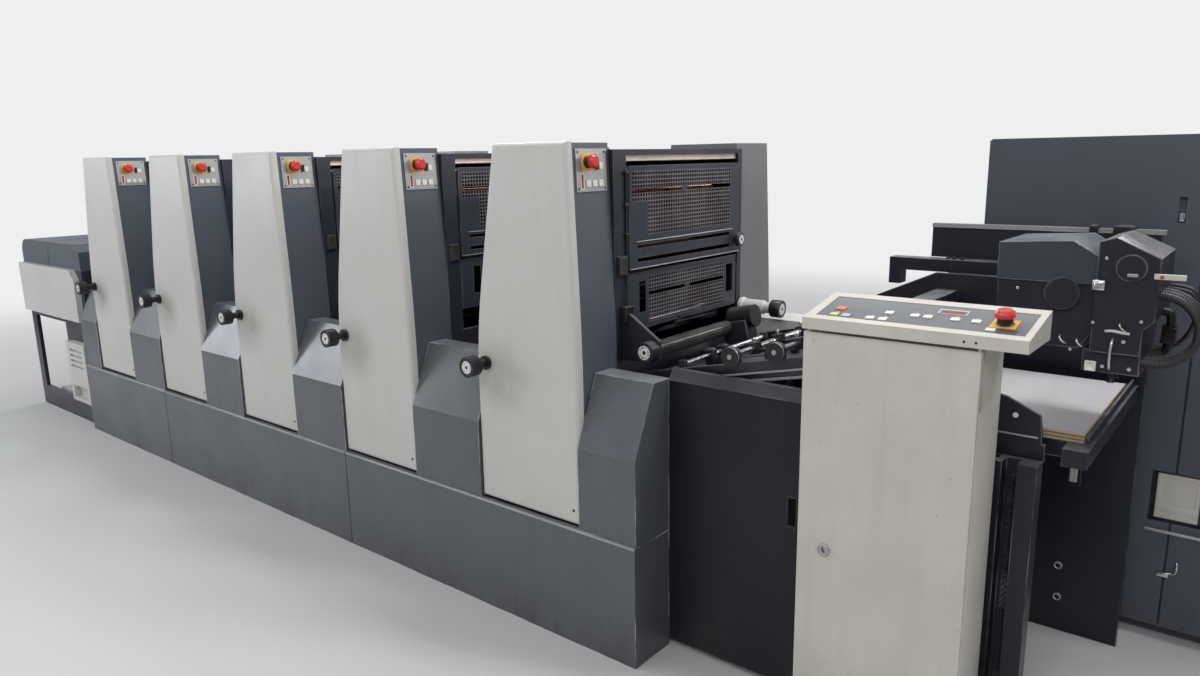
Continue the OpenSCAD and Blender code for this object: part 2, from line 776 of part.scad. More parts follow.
// Sloping feed table with its edge rails, shaft posts and tape guides
module feedboard() color(dark_grey) on_table() union() {
  difference() {
    box(0, feed_board_l, board_y, board_end_y, -feed_board_t, 0);
    for (y = wheel_ys) box(210, feed_board_l - 40, y + 44, y + 56, -3, past);
  }
  for (y = [board_y, board_end_y - feed_rail_t]) {
    box(60, feed_board_l, y, y + feed_rail_t, -past, feed_rail_h);
    for (x = shaft_xs) table_post(x, y, feed_shaft_lift);
  }
  // Bracket that holds the roll's other end
  box(roll_x - 16, roll_x + 70, roll_end_y, roll_end_y + feed_rail_t, -past, roll_lift + 16);
}

// Cross shafts over the table with their wheels on sprung arms, the roll and the drive motor
module wheel_arm(x, y) {
  arm_y = y + 10;
  wheel_x = x + wheel_reach;
  wheel_y = arm_y + 10;
  box(x - 14, x + 14, y, y + clamp_w, feed_shaft_lift - clamp_half, feed_shaft_lift + clamp_half);
  box(x, wheel_x + 4, arm_y, wheel_y, feed_shaft_lift - 14, feed_shaft_lift - 4);
  rod(wheel_x, feed_wheel_d / 2 + run_gap, feed_wheel_d, wheel_y, wheel_y + feed_wheel_t);
  box(wheel_x - 6, wheel_x + 6, arm_y, wheel_y + 1, feed_wheel_d / 2 - 8, feed_shaft_lift - 4);
}
module feed_wheels() color(black) on_table() {
  for (x = shaft_xs) union() {
    rod(x, feed_shaft_lift, feed_shaft_d, board_y - 2, board_end_y - 2);
    for (y = wheel_ys) wheel_arm(x, y);
    rod(x, feed_shaft_lift, feed_shaft_d + 34, board_y - 22, board_y - run_gap);
  }
  // Roll in front of the first unit, and its knob on the other side of the cheek
  rod(roll_x, roll_lift, feed_roll_d, inner_y - 10 + run_gap, roll_end_y - run_gap);
  rod(roll_x, roll_lift, feed_knob_d, inner_y - 60, inner_y - 22 - run_gap);
  // Motor, lying along the slope on its foot
  union() {
    translate([motor_x, motor_y, motor_lift]) rotate([0, 90, 0]) cylinder(d = feed_motor_d, h = 90);
    box(motor_x + 20, motor_x + 66, motor_y - 30, motor_y + 30, run_gap, motor_lift);
  }
}

// Side frames of the feeder, the beams between them and the pull on the drive-side frame
module chain_links(x, y, z0, z1) for (z = [z0:chain_pitch:z1]) {
  box(x - 5, x + 5, y, y + 6, z, z + chain_pitch * 0.55);
  box(x - 2, x + 2, y, y + 6, z, z + chain_pitch);
}
module feeder_frame() color(panel_black) union() {
  slot_x = post_x - chain_slot;
  inner_face = feeder_drive_y + past;
  box(feeder_x, slot_x, feeder_y, feeder_y + feeder_t, 0, feeder_low_h);
  box(slot_x - 12, slot_x, feeder_y, post_back, 0, feeder_low_h);
  box(slot_x - past, post_x + past, post_back - 10, post_back, 0, feeder_low_h);
  box(post_x, post_x + post_w, feeder_y, post_back, 0, feeder_low_h);
  chain_links(post_x - chain_slot / 2, post_back - 15, 60, feeder_low_h - 40);
  box(feeder_x, feeder_x + beam_w, feeder_y, feeder_y + feeder_t, feeder_low_h - past, beam_top);
  reach_x = feeder_x - feeder_reach;
  reach_z = feeder_h - feeder_reach_h;
  end_x = feeder_x + feeder_l;
  extrude_y(feeder_drive_y, feeder_drive_y + feeder_t) polygon([
    [feeder_x, 0], [feeder_x, reach_z], [reach_x, reach_z], [reach_x, feeder_h], [end_x, feeder_h], [end_x, 0]
  ]);
  // Beams across the feeder, low down and over the table
  box(feeder_x, feeder_x + beam_w, feeder_y + 1, inner_face, 40, 120);
  box(feeder_x, feeder_x + beam_w, feeder_y + 1, inner_face, 970, beam_top);
  // Bar and hanging bracket over the upper end of the table
  box(bar_x, bar_end_x, feeder_drive_y - 50, inner_face, 1075, 1113);
  box(bar_x, bar_x + 36, feeder_drive_y - 50, feeder_drive_y, 1031, 1090);
  // Slanted cheek beside the table's upper end
  extrude_y(table_cheek_y, table_cheek_y + cheek_t + 2) polygon([
    [300, 960], [319, 998], [494, 1079], [bar_end_x, 1079], [bar_end_x, 990], [420, 975]
  ]);
  box(bar_end_x - 60, bar_end_x - 10, table_cheek_y + 11, inner_face, 1000, 1060);
  // Pull and two bosses on the inner face of the drive-side frame
  difference() {
    box(pull_x, pull_x + 36, feeder_drive_y - 7, inner_face, pull_z, pull_z + 82);
    box(pull_x + 8, pull_x + 28, feeder_drive_y - 8, feeder_drive_y - 2, pull_z + 10, pull_z + 72);
  }
  for (at = boss_places) rod(at[0], at[1], boss_d, feeder_drive_y - 9, inner_face);
}

// Bright rail along the top of the drive-side frame, and the rods that carry the suction head
module feeder_rails() color(steel) {
  box(feeder_x - feeder_reach, feeder_x + feeder_l + 7, feeder_drive_y - 6, feeder_drive_y + feeder_t,
      feeder_h, feeder_h + top_rail_h);
  for (x = rod_xs) rod(x, head_rod_z, head_rod_d, head_y + 20, feeder_drive_y);
}

// Suction head: main housing with a round cover, outer housing and the sucker block below it
module suction_head() color(black) union() {
  split = head_x + head_l;
  top = head_z + head_h;
  shell_foot = top - head_shell_h;
  difference() {
    union() {
      extrude_y(head_y, head_y + head_w) polygon([
        [head_x, head_z], [head_x, shell_foot], [split, shell_foot], [split, head_z + 40], [split - 26, head_z]
      ]);
      extrude_y(head_y - 5, head_y + head_w + 5) polygon([
        [head_x - 2, shell_foot - 2], [head_x - 2, top - 8], [head_x + 150, top],
        [split, top - 32], [split, shell_foot - 2]
      ]);
      rod(head_x + 136, head_z + 120, head_cover_d, head_y - 8, head_y + past);
    }
    for (x = rod_xs)
      rod(x, head_rod_z, head_rod_d + 2 * run_gap, head_y + 20 - run_gap, head_y + head_w + 2 * 5);
  }
  extrude_y(head_y - 20, head_y + head_w - 20) polygon([
    [split - past, head_z], [split - past, top + 2], [split + 30, top + 12], [head_end_x, top - 28],
    [head_end_x, top - 160], [head_end_x - 20, top - 180], [head_end_x - 20, head_z]
  ]);
  rod(split + 62, head_z + 186, 56, head_y - 24, head_y - 19);
  box(split - 15, head_end_x - 20, head_y - 8, head_y + head_w - 40, head_z - sucker_block_h, head_z + past);
  for (y = sucker_ys) translate([split + 40, head_y + y, head_z - sucker_block_h - 26]) {
    cylinder(d = sucker_d * 0.6, h = 30);
    cylinder(d1 = sucker_d, d2 = sucker_d * 0.6, h = 10);
  }
}

// Suction hoses that loop from the outer housing back to the sucker block
module head_hoses() color(black) for (i = [0:2]) union() {
  y = head_y + 20 + i * hose_pitch;
  translate([head_end_x + run_gap, y, hose_z + hose_bend]) rotate([90, 0, 0])
    rotate([0, 0, -90]) rotate_extrude(angle = 180) translate([hose_bend, 0]) circle(d = hose_d);
  translate([head_end_x - hose_run + run_gap, y, hose_z])
    rotate([0, 90, 0]) cylinder(d = hose_d, h = hose_run);
}

// Lifting carriage of the pile: bars under the board, pads on the far frame, cheek and edge plate
module pile_carriage() color(black) union() {
  top = pile_z - pile_t;
  foot = top - carriage_h;
  near_x = pile_x - 20;
  far_x = pile_end_x + 20;
  drive_end = feeder_drive_y - carriage_gap;
  for (x = [near_x, far_x - carriage_w]) {
    box(x, x + carriage_w, carriage_y, drive_end, foot, top);
    box(x + 10, x + carriage_w - 10, drive_end - past, feeder_drive_y - run_gap, foot, top);
  }
  for (y = [pile_y, pile_y + pile_w - carriage_w]) box(near_x, far_x, y, y + carriage_w, foot, top);
  box(near_x, post_x + post_w, carriage_y, carriage_y + cheek_t, foot, top);
  cheek_end = post_x + post_w - 8;
  extrude_y(carriage_y, carriage_y + cheek_t) polygon([
    [812, foot], [812, pile_z + 85], [858, pile_z + 77], [931, pile_z + 43], [cheek_end, pile_z], [cheek_end, foot]
  ]);
  edge_top = pile_z - 6;
  extrude_y(carriage_y + 60, drive_end - carriage_gap) polygon([
    [pile_end_x + 4, foot], [pile_end_x + 4, edge_top], [pile_end_x + 10, edge_top], [far_x, foot]
  ]);
}
module pile_board() color(wood)
  box(pile_x, pile_end_x, pile_y, pile_y + pile_w, pile_z - pile_t, pile_z);

// Console cabinet, open at the front behind its door
module console_body() color(console_cream) difference() {
  box(console_x, console_x + console_w, console_y, console_back, 0, console_h);
  box(console_x - past, console_x + console_w + past, console_y - past, console_y + door_t + door_gap,
      door_bottom - door_gap, console_h + past);
  box(console_x + console_wall, console_x + console_w - console_wall, console_y - past,
      console_back - console_wall, door_bottom + console_wall, console_h - console_wall);
}
module console_door() color(console_cream) union() {
  box(console_x, door_end_x, console_y, console_y + door_t, door_bottom, console_h - door_gap);
  translate([door_end_x - door_pin_inset, console_y + door_pin_inset, door_bottom - door_gap + run_gap])
    cylinder(d = hinge_pin_d - 2, h = console_h - door_bottom + door_gap - 2 * run_gap);
  rod(console_x + lock_x, lock_z, lock_d, console_y - 4, console_y + past);
}
// Sloping desk with a sunk field for its buttons
module console_top() color(console_cream) difference() {
  extrude_x(console_x, console_x + desk_w)
    polygon([[desk_y, console_h], [desk_y, console_h + desk_front_h],
             [desk_y + desk_d, console_h + desk_back_h], [desk_y + desk_d, console_h]]);
  on_desk() box(desk_rim, desk_w - 14, desk_rim, desk_d - 24, -desk_recess, desk_recess);
}

// Electrical cabinet on its plinth
module cabinet_body() color(cabinet_grey) union() {
  box(cabinet_x, cabinet_end_x, cabinet_y + cabinet_door_t, cabinet_back_y, cabinet_plinth_h, cabinet_h);
  box(cabinet_x + 30, cabinet_end_x - 30, cabinet_y + 50, cabinet_back_y - 30, 0, cabinet_plinth_h + 1);
}
// Two cabinet doors, the right one with a sunk place for its switch, each with a slot for its pull
module cabinet_doors() color(cabinet_grey) difference() {
  door_pitch = (cabinet_w + cabinet_seam) / 2;
  recess_x = cabinet_x + 512;
  recess_floor = cabinet_y + cabinet_door_t - 4;
  for (x = [cabinet_x, cabinet_x + door_pitch])
    box(x, x + door_pitch - cabinet_seam, cabinet_y, cabinet_y + cabinet_door_t,
        cabinet_plinth_h + 10, cabinet_h - 4);
  box(recess_x, recess_x + cabinet_recess_w, cabinet_y - past, recess_floor,
      cabinet_recess_z, cabinet_recess_z + cabinet_recess_h);
  for (x = [cabinet_x + 500, cabinet_end_x - 60])
    box(x, x + pull_slot_w, cabinet_y - past, recess_floor, pull_slot_z, pull_slot_z + pull_slot_h);
}

// Delivery past the last unit: side plates with a window for the pile, and the beams between them
module delivery_frame() color(dark_grey) union() {
  far_y = base_d - delivery_frame_y;
  window_top = delivery_top - delivery_panel_h - 30;
  beam_end = delivery_x + delivery_beam;
  for (y = [delivery_frame_y, far_y - delivery_plate_t]) difference() {
    box(delivery_x, base_start_x, y, y + delivery_plate_t, 0, delivery_top);
    box(delivery_x + 70, base_start_x - 330, y - past, y + delivery_plate_t + past, 120, window_top);
  }
  box(delivery_x, beam_end, delivery_frame_y, far_y, delivery_top - 80, delivery_top);
  box(delivery_x, beam_end, delivery_frame_y, far_y, 0, delivery_beam);
  box(base_start_x - delivery_beam, base_start_x, delivery_frame_y, far_y, 0, delivery_top);
}
// Hood over the delivery with a rounded nose
module delivery_hood() color(housing_grey) extrude_y(delivery_frame_y, base_d - delivery_frame_y) {
  top = delivery_top + hood_h;
  polygon(concat(
    [[delivery_x, delivery_top]],
    curve([delivery_x, top - hood_nose], [delivery_x, top], [delivery_x + hood_nose, top]),
    [[base_start_x - delivery_beam, top], [base_start_x, top - 40], [base_start_x, delivery_top]]
  ));
}
module delivery_side_panels() color(cream)
  for (y = [delivery_frame_y - delivery_panel_t, base_d - delivery_frame_y])
    extrude_y(y, y + delivery_panel_t) {
      foot = delivery_top - delivery_panel_h;
      polygon([[delivery_x, foot], [delivery_x, delivery_top], [base_start_x - 90, delivery_top],
               [base_start_x - 40, delivery_top - 50], [base_start_x - 40, foot]]);
    }
// Low box at the delivery's foot, with a row of vents and an opening at the bottom
module delivery_box() color(cream) difference() {
  x1 = base_start_x - panel_gap;
  x0 = x1 - delivery_box_l;
  vents_z = delivery_box_z + 200;
  box(x0, x1, 0, delivery_frame_y - run_gap, delivery_box_z, delivery_box_z + delivery_box_h);
  for (row = [0:vent_rows - 1])
    box(x0 + 40, x1 - 40, -past, 12, vents_z + row * vent_pitch, vents_z + 12 + row * vent_pitch);
  box(x0 + 30, x1 - 30, -past, 30, delivery_box_z + 20, delivery_box_z + 90);
}
module delivery_pile_board() color(wood)
  box(delivery_x + delivery_beam, base_start_x - delivery_beam - 1, 120, base_d - 120,
      delivery_beam, delivery_beam + 30);

centred() {
  base_bed();
  base_panels();
  step_covers();
  for (k = [1:unit_count]) {
    unit_cover(k);
    unit_housing(k);
    unit_knob(k);
  }
  unit_frames();
  drive_housings();
  stop_plates();
  stop_heads();
  control_buttons();
  unit_1_upper_guard();
  unit_1_lower_guard();
  inner_guards();
  press_cylinders();
  ink_rollers();
  feed_side_panels();
  feed_drive_cover();
  feedboard();
  feed_wheels();
  feeder_frame();
  feeder_rails();
  suction_head();
  head_hoses();
  pile_carriage();
  pile_board();
  console_body();
  console_door();
  console_top();
  cabinet_body();
  cabinet_doors();
  delivery_frame();
  delivery_hood();
  delivery_side_panels();
  delivery_box();
  delivery_pile_board();
}
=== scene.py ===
# %% [markdown]
# # Sheet-fed offset press
# This file dresses the measured model of a five-unit offset press: it sets the camera and the light, gives every
# CAD node a finish, and models the small pieces that a render needs and the CAD leaves out.

# %% Load the measured model
from math import cos, pi, radians, sin
import bpy
from mathutils import Matrix, Vector


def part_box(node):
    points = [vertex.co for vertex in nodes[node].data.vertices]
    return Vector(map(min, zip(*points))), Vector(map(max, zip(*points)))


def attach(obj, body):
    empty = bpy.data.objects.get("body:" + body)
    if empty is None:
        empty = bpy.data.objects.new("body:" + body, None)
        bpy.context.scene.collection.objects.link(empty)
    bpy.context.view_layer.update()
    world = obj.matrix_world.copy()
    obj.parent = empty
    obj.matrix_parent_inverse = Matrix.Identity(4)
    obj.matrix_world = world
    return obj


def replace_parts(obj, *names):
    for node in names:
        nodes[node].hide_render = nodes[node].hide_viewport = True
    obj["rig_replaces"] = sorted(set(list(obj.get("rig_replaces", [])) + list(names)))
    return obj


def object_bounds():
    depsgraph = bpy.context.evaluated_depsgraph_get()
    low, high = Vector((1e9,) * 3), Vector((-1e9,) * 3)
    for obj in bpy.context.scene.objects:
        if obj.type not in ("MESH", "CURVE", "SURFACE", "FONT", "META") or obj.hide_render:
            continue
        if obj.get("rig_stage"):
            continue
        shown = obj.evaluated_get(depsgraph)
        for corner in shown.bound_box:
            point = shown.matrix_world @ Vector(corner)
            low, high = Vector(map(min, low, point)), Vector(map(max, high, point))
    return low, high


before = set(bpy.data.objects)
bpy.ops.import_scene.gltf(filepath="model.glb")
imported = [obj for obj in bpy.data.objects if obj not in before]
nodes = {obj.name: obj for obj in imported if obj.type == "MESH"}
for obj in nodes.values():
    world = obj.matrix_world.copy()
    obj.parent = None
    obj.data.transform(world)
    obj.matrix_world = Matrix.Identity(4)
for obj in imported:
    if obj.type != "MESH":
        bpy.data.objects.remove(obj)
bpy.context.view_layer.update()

# %% [markdown]
# Sizes on a press are given from its own faces, in millimetres: X from the feeder end of the base, Y from the
# operator's face of the base, Z from the floor. The base panels touch both faces, so their box gives the two
# offsets, and one helper turns a press size into a point of the scene.

# %% Points in press sizes
MM = 0.001
BASE_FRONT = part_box("base_panels")[0].y
BASE_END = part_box("base_panels")[1].x
UNIT_PITCH = 740
UNIT_1 = -620

def press(x, y, z):
    return Vector((BASE_END + x / 1000, BASE_FRONT + y / 1000, z / 1000))

def unit_x(k):
    return UNIT_1 - (k - 1) * UNIT_PITCH

print("feeder end of the base at", round(BASE_END, 4), "front at", round(BASE_FRONT, 4))

# %% [markdown]
# ## Camera
# The camera stands beside the console and looks along the row of units. Its place and lens were worked out from
# known corners of the press, so the render lies over the photograph. Its frame is given by the directions to its
# right and to its back, and the third follows from them.

# %% Camera
LENS = 25.7135
CAMERA_AT = (2.8035, -2.47675, 1.4311)
camera_data = bpy.data.cameras.new("camera")
camera_data.lens, camera_data.sensor_width, camera_data.clip_end = LENS, 36, 60
camera = bpy.data.objects.new("camera", camera_data)
right = Vector((0.7744, 0.6324, -0.0175)).normalized()
back = Vector((0.6218, -0.7558, 0.2054)).normalized()
up = back.cross(right).normalized()
right = up.cross(back)
camera.matrix_world = Matrix.Translation(CAMERA_AT) @ Matrix((right, up, back)).transposed().to_4x4()
bpy.context.scene.collection.objects.link(camera)
bpy.context.scene.camera = camera

# %% [markdown]
# ## Shader nodes
# Floor, background and paints are all built from a few kinds of shader nodes. These helpers add a node with its
# settings, wire sockets together, and give the three things that every mask needs: noise, a ramp and a sum.

# %% Node helpers
def put(tree, kind, **values):
    """Adds one shader node. A value goes to the setting of that name, or else to the input socket."""
    node = tree.nodes.new("ShaderNode" + kind)
    for key, value in values.items():
        if hasattr(node, key):
            setattr(node, key, value)
        else:
            node.inputs[key.replace("_", " ")].default_value = value
    return node

def wire(tree, *pairs):
    for source, target in pairs:
        tree.links.new(source, target)

def set_or_wire(tree, value, socket):
    """Gives a socket a number, or wires another socket to it."""
    if isinstance(value, (int, float)):
        socket.default_value = value
    else:
        tree.links.new(value, socket)

def ramp(tree, source, low, high):
    """Spreads the values from low to high over 0 to 1. Low and high are numbers or sockets."""
    spread = put(tree, "MapRange")
    tree.links.new(source, spread.inputs["Value"])
    set_or_wire(tree, low, spread.inputs["From Min"])
    set_or_wire(tree, high, spread.inputs["From Max"])
    return spread.outputs["Result"]

def calc(tree, operation, a, b, clamp=False):
    node = put(tree, "Math", operation=operation, use_clamp=clamp)
    set_or_wire(tree, a, node.inputs[0])
    set_or_wire(tree, b, node.inputs[1])
    return node.outputs[0]

def noise(tree, scale, detail=4.0, stretch=(1, 1, 1), rough=0.55):
    """Noise on the object's own coordinates, stretched along an axis where a streak is wanted."""
    place = put(tree, "TexCoord")
    squeeze = put(tree, "Mapping", Scale=stretch)
    cloud = put(tree, "TexNoise", Scale=scale, Detail=detail, Roughness=rough)
    wire(tree, (place.outputs["Object"], squeeze.inputs["Vector"]),
         (squeeze.outputs["Vector"], cloud.inputs["Vector"]))
    return cloud.outputs["Fac"]

# %% [markdown]
# ## Floor and light
# A product studio: one pale floor that runs out of sight, and large soft lamps. Far from the press the floor
# passes into the background. The change is mixed in for camera rays only, so the floor still reflects and shades
# as a floor near the press.

# %% Floor
BACKGROUND = (0.86, 0.865, 0.87, 1)
FADE_START, FADE_END = 3.2, 8.5

def deselect():
    if bpy.context.object and bpy.context.object.mode != "OBJECT":
        bpy.ops.object.mode_set(mode="OBJECT")
    bpy.ops.object.select_all(action="DESELECT")

def srgb(r, g, b):
    """Colour as a paint chart gives it, 0 to 255, turned into the linear values that shaders use."""
    chart = [v / 255 for v in (r, g, b)]
    return tuple(v / 12.92 if v <= 0.04045 else ((v + 0.055) / 1.055) ** 2.4 for v in chart) + (1,)

def new_paint(name):
    material = bpy.data.materials.new(name)
    material.use_nodes = True
    return material, material.node_tree, material.node_tree.nodes["Principled BSDF"]

deselect()
bpy.ops.mesh.primitive_plane_add(size=60, location=(0, 0, 0))
floor = bpy.context.object
floor.name = "studio_floor"
floor_paint, tree, floor_shader = new_paint("studio_floor")
floor_shader.inputs["Base Color"].default_value = srgb(194, 194, 192)
floor_shader.inputs["Roughness"].default_value = 0.6
spot = put(tree, "TexCoord")
reach = put(tree, "VectorMath", operation="LENGTH")
fade = put(tree, "MapRange", interpolation_type="SMOOTHSTEP", From_Min=FADE_START, From_Max=FADE_END)
wire(tree, (spot.outputs["Object"], reach.inputs[0]), (reach.outputs["Value"], fade.inputs["Value"]))
seen_far = calc(tree, "MULTIPLY", fade.outputs["Result"], put(tree, "LightPath").outputs["Is Camera Ray"])
floor_mix = put(tree, "MixShader")
wire(tree, (seen_far, floor_mix.inputs[0]), (floor_shader.outputs[0], floor_mix.inputs[1]),
     (put(tree, "Emission", Color=BACKGROUND).outputs[0], floor_mix.inputs[2]),
     (floor_mix.outputs[0], tree.nodes["Material Output"].inputs[0]))
floor.data.materials.append(floor_paint)
floor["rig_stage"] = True

# %% [markdown]
# The lamps hang where the shop's long ceiling lights would, because it is their narrow reflections that draw the
# bright lines on the rollers and along the edges of the panels.

# %% Lamps and world
def soft_lamp(name, place, target, size, watts, colour=(1, 1, 1)):
    lamp_data = bpy.data.lights.new(name, "AREA")
    lamp_data.shape = "RECTANGLE"
    lamp_data.size, lamp_data.size_y = size
    lamp_data.energy = watts
    lamp_data.color = colour
    lamp = bpy.data.objects.new(name, lamp_data)
    aim = (Vector(target) - Vector(place)).to_track_quat("-Z", "Y")
    lamp.matrix_world = Matrix.Translation(place) @ aim.to_matrix().to_4x4()
    bpy.context.scene.collection.objects.link(lamp)

soft_lamp("key", (3.6, -4.6, 4.2), (0.2, 0, 0.8), (3.5, 2.5), 105)
soft_lamp("row_light", (-1.2, -3.2, 4.4), (-1.0, 0, 0.9), (5.5, 1.0), 56)
soft_lamp("ceiling_feeder", (2.6, 0.4, 3.9), (1.4, 0, 0.9), (0.5, 3.2), 70)
soft_lamp("ceiling_units", (0.0, 0.9, 4.0), (0.0, 0, 1.0), (4.5, 0.5), 90)
soft_lamp("window", (-4.4, -3.2, 1.9), (-0.4, -0.7, 0.7), (2.0, 1.1), 55, (0.9, 0.95, 1))
soft_lamp("roller_strip", (3.4, 3.3, 2.5), (1.1, -0.1, 1.3), (2.6, 0.14), 48, (1, 0.95, 0.9))
soft_lamp("back_fill", (-3.6, 3.8, 3.2), (-0.6, 0, 0.9), (3.0, 2.5), 90)

world = bpy.data.worlds.new("studio")
bpy.context.scene.world = world
world.use_nodes = True
tree = world.node_tree
sky = tree.nodes["Background"]
sky.inputs["Color"].default_value = (0.93, 0.95, 1, 1)
sky.inputs["Strength"].default_value = 0.42
split = put(tree, "MixShader")
wire(tree, (put(tree, "LightPath").outputs["Is Camera Ray"], split.inputs[0]), (sky.outputs[0], split.inputs[1]),
     (put(tree, "Background", Color=BACKGROUND).outputs[0], split.inputs[2]),
     (split.outputs[0], tree.nodes["World Output"].inputs["Surface"]))
bpy.context.scene.view_settings.view_transform = "Standard"

# %% [markdown]
# ## Finishes
# A press shows its years in its paint: rubbed edges, oily smudges where hands go, dark run marks, dust on what
# lies flat and dirt near the floor. Some masks also paint light and shade: a highlight along edges, light on
# upward faces and shade in corners. Each of these is one node group that puts out a mask, so every paint can use
# it at its own strength.

# %% Start and end of a mask group
def start_group(name, **inputs):
    tree = bpy.data.node_groups.new(name, "ShaderNodeTree")
    for label, value in {"Strength": 1.0, **inputs}.items():
        tree.interface.new_socket(label, in_out="INPUT", socket_type="NodeSocketFloat").default_value = value
    tree.interface.new_socket("Mask", in_out="OUTPUT", socket_type="NodeSocketFloat")
    return tree, tree.nodes.new("NodeGroupInput")

def end_group(tree, given, value):
    """Multiplies the mask by the group's strength and puts it out."""
    out = tree.nodes.new("NodeGroupOutput")
    wire(tree, (calc(tree, "MULTIPLY", value, given.outputs["Strength"], True), out.inputs["Mask"]))

# %% [markdown]
# Edge wear and painted highlight: the Bevel node gives the normal that a rounded edge would have. Where it
# differs from the true normal the surface is close to an edge, and noise breaks the line up so that the paler
# colour shows only in places. That colour is partly worn paint and partly a painted highlight along the edge.

# %% Group: edge wear and painted highlight
edge_wear_and_highlight, given = start_group("Rubbed edges")
rounded = put(edge_wear_and_highlight, "Bevel", samples=6, Radius=0.005)
true = put(edge_wear_and_highlight, "NewGeometry")
compare = put(edge_wear_and_highlight, "VectorMath", operation="DOT_PRODUCT")
wire(edge_wear_and_highlight, (rounded.outputs["Normal"], compare.inputs[0]), (true.outputs["Normal"], compare.inputs[1]))
near_edge = ramp(edge_wear_and_highlight, compare.outputs["Value"], 0.995, 0.86)
end_group(edge_wear_and_highlight, given, calc(edge_wear_and_highlight, "MULTIPLY", near_edge, ramp(edge_wear_and_highlight, noise(edge_wear_and_highlight, 9, 6), 0.42, 0.62)))

# %% [markdown]
# Smudges, run marks and specks are noise, read at the right size: hand-wide clouds for smudges, noise squeezed
# sideways so that it runs down the panel, and sharp small dots for specks. Dust and floor dirt are noise too, kept
# to upward faces or to the lowest part. The pale tone on upward faces is partly dust and partly painted light
# from above.

# %% Groups: smudges, runs, specks, dust with painted top light, and floor dirt
def noise_group(name, low, high, scale, detail, stretch, rough):
    tree, given = start_group(name)
    end_group(tree, given, ramp(tree, noise(tree, scale, detail, stretch, rough), low, high))
    return tree

smudges = noise_group("Smudges", 0.42, 0.72, 3.5, 8, (1, 1, 1), 0.65)
runs = noise_group("Run marks", 0.5, 0.78, 22, 5, (1, 1, 0.06), 0.6)
specks = noise_group("Specks", 0.7, 0.76, 75, 2, (1, 1, 1), 0.5)

dust_and_light_mask, given = start_group("Dust")
height = put(dust_and_light_mask, "SeparateXYZ")
wire(dust_and_light_mask, (put(dust_and_light_mask, "NewGeometry").outputs["Normal"], height.inputs[0]))
upward = ramp(dust_and_light_mask, height.outputs["Z"], 0.45, 0.95)
end_group(dust_and_light_mask, given, calc(dust_and_light_mask, "MULTIPLY", upward, ramp(dust_and_light_mask, noise(dust_and_light_mask, 7, 8, (1, 1, 1), 0.7), 0.3, 0.7)))

floor_dirt, given = start_group("Floor dirt", Height=0.25)
level = put(floor_dirt, "SeparateXYZ")
wire(floor_dirt, (put(floor_dirt, "TexCoord").outputs["Object"], level.inputs[0]))
low = ramp(floor_dirt, level.outputs["Z"], given.outputs["Height"], 0.0)
splash = ramp(floor_dirt, noise(floor_dirt, 11, 8, (1, 1, 0.5), 0.7), 0.36, 0.66)
end_group(floor_dirt, given, calc(floor_dirt, "MULTIPLY", low, splash))

# %% [markdown]
# Inside the units every corner gets painted shade: ambient occlusion finds such places, and the mask mixes in a
# near-black colour there.

# %% Group: painted corner shade
corners, given = start_group("Black corners", Reach=0.12)
around = put(corners, "AmbientOcclusion", samples=6)
wire(corners, (given.outputs["Reach"], around.inputs["Distance"]))
end_group(corners, given, ramp(corners, around.outputs["AO"], 0.85, 0.25))

# %% [markdown]
# Hands that reach for a knob leave a grey patch on the cover beside it. The patch is drawn round one knob, and
# wrapping X by the unit pitch repeats it on the five covers. Two limits along X keep it off the other panels.

# %% Group: hand marks
hands, given = start_group("Hand marks")
shifted = put(hands, "VectorMath", operation="SUBTRACT")
shifted.inputs[1].default_value = press(UNIT_1 + 105, 0, 775)
split = put(hands, "SeparateXYZ")
wrapped = put(hands, "Math", operation="WRAP")
wrapped.inputs[1].default_value, wrapped.inputs[2].default_value = -UNIT_PITCH / 2000, UNIT_PITCH / 2000
wire(hands, (put(hands, "TexCoord").outputs["Object"], shifted.inputs[0]), (shifted.outputs[0], split.inputs[0]),
     (split.outputs["X"], wrapped.inputs[0]))
across = calc(hands, "MULTIPLY", wrapped.outputs[0], wrapped.outputs[0])
upright = calc(hands, "MULTIPLY", split.outputs["Z"], split.outputs["Z"])
patch = ramp(hands, calc(hands, "POWER", calc(hands, "ADD", across, upright), 0.5), 0.13, 0.02)
for pitches, side in ((-4.5, "GREATER_THAN"), (0.5, "LESS_THAN")):
    inside = calc(hands, side, split.outputs["X"], pitches * UNIT_PITCH * MM)
    patch = calc(hands, "MULTIPLY", patch, inside)
end_group(hands, given, calc(hands, "MULTIPLY", patch, ramp(hands, noise(hands, 12, 5), 0.2, 0.65)))

# %% [markdown]
# A paint is one Principled shader. Its colour starts as the paint chart's colour, and each mask mixes in what it
# stands for: dark grease, pale dust with painted top light, bare metal and a painted highlight at an edge, painted
# shade in corners. Noise also changes the gloss, and a fine bump gives the orange peel of sprayed paint.

# %% Paint maker
# The pale blue-grey tone for upward faces is partly dust and partly painted light from above.
DUST_AND_LIGHT_TONE, DIRT, SPECK = srgb(146, 147, 150), srgb(52, 48, 44), srgb(70, 62, 52)
# The hand marks' grey, and the near black of the painted corner shade.
HAND_GREY, CORNER_SHADE = srgb(112, 108, 100), srgb(16, 16, 20)
# The default edge tint stands for bare metal and a painted highlight.
EDGE_TINT = (168, 168, 166)
CORNER_REACH = 0.12
GREASE_SHADE = 0.45
GLOSS_BELOW, GLOSS_ABOVE = 0.07, 0.1

def blend_in(tree, base, colour, group, strength, **extra):
    """Mixes a colour over the base where the mask of a group shows."""
    node = put(tree, "Group", node_tree=group)
    for label, value in {"Strength": strength, **extra}.items():
        node.inputs[label].default_value = value
    mix = put(tree, "Mix", data_type="RGBA")
    mix.inputs[7].default_value = colour
    wire(tree, (node.outputs["Mask"], mix.inputs["Factor"]), (base, mix.inputs[6]))
    return mix.outputs[2]

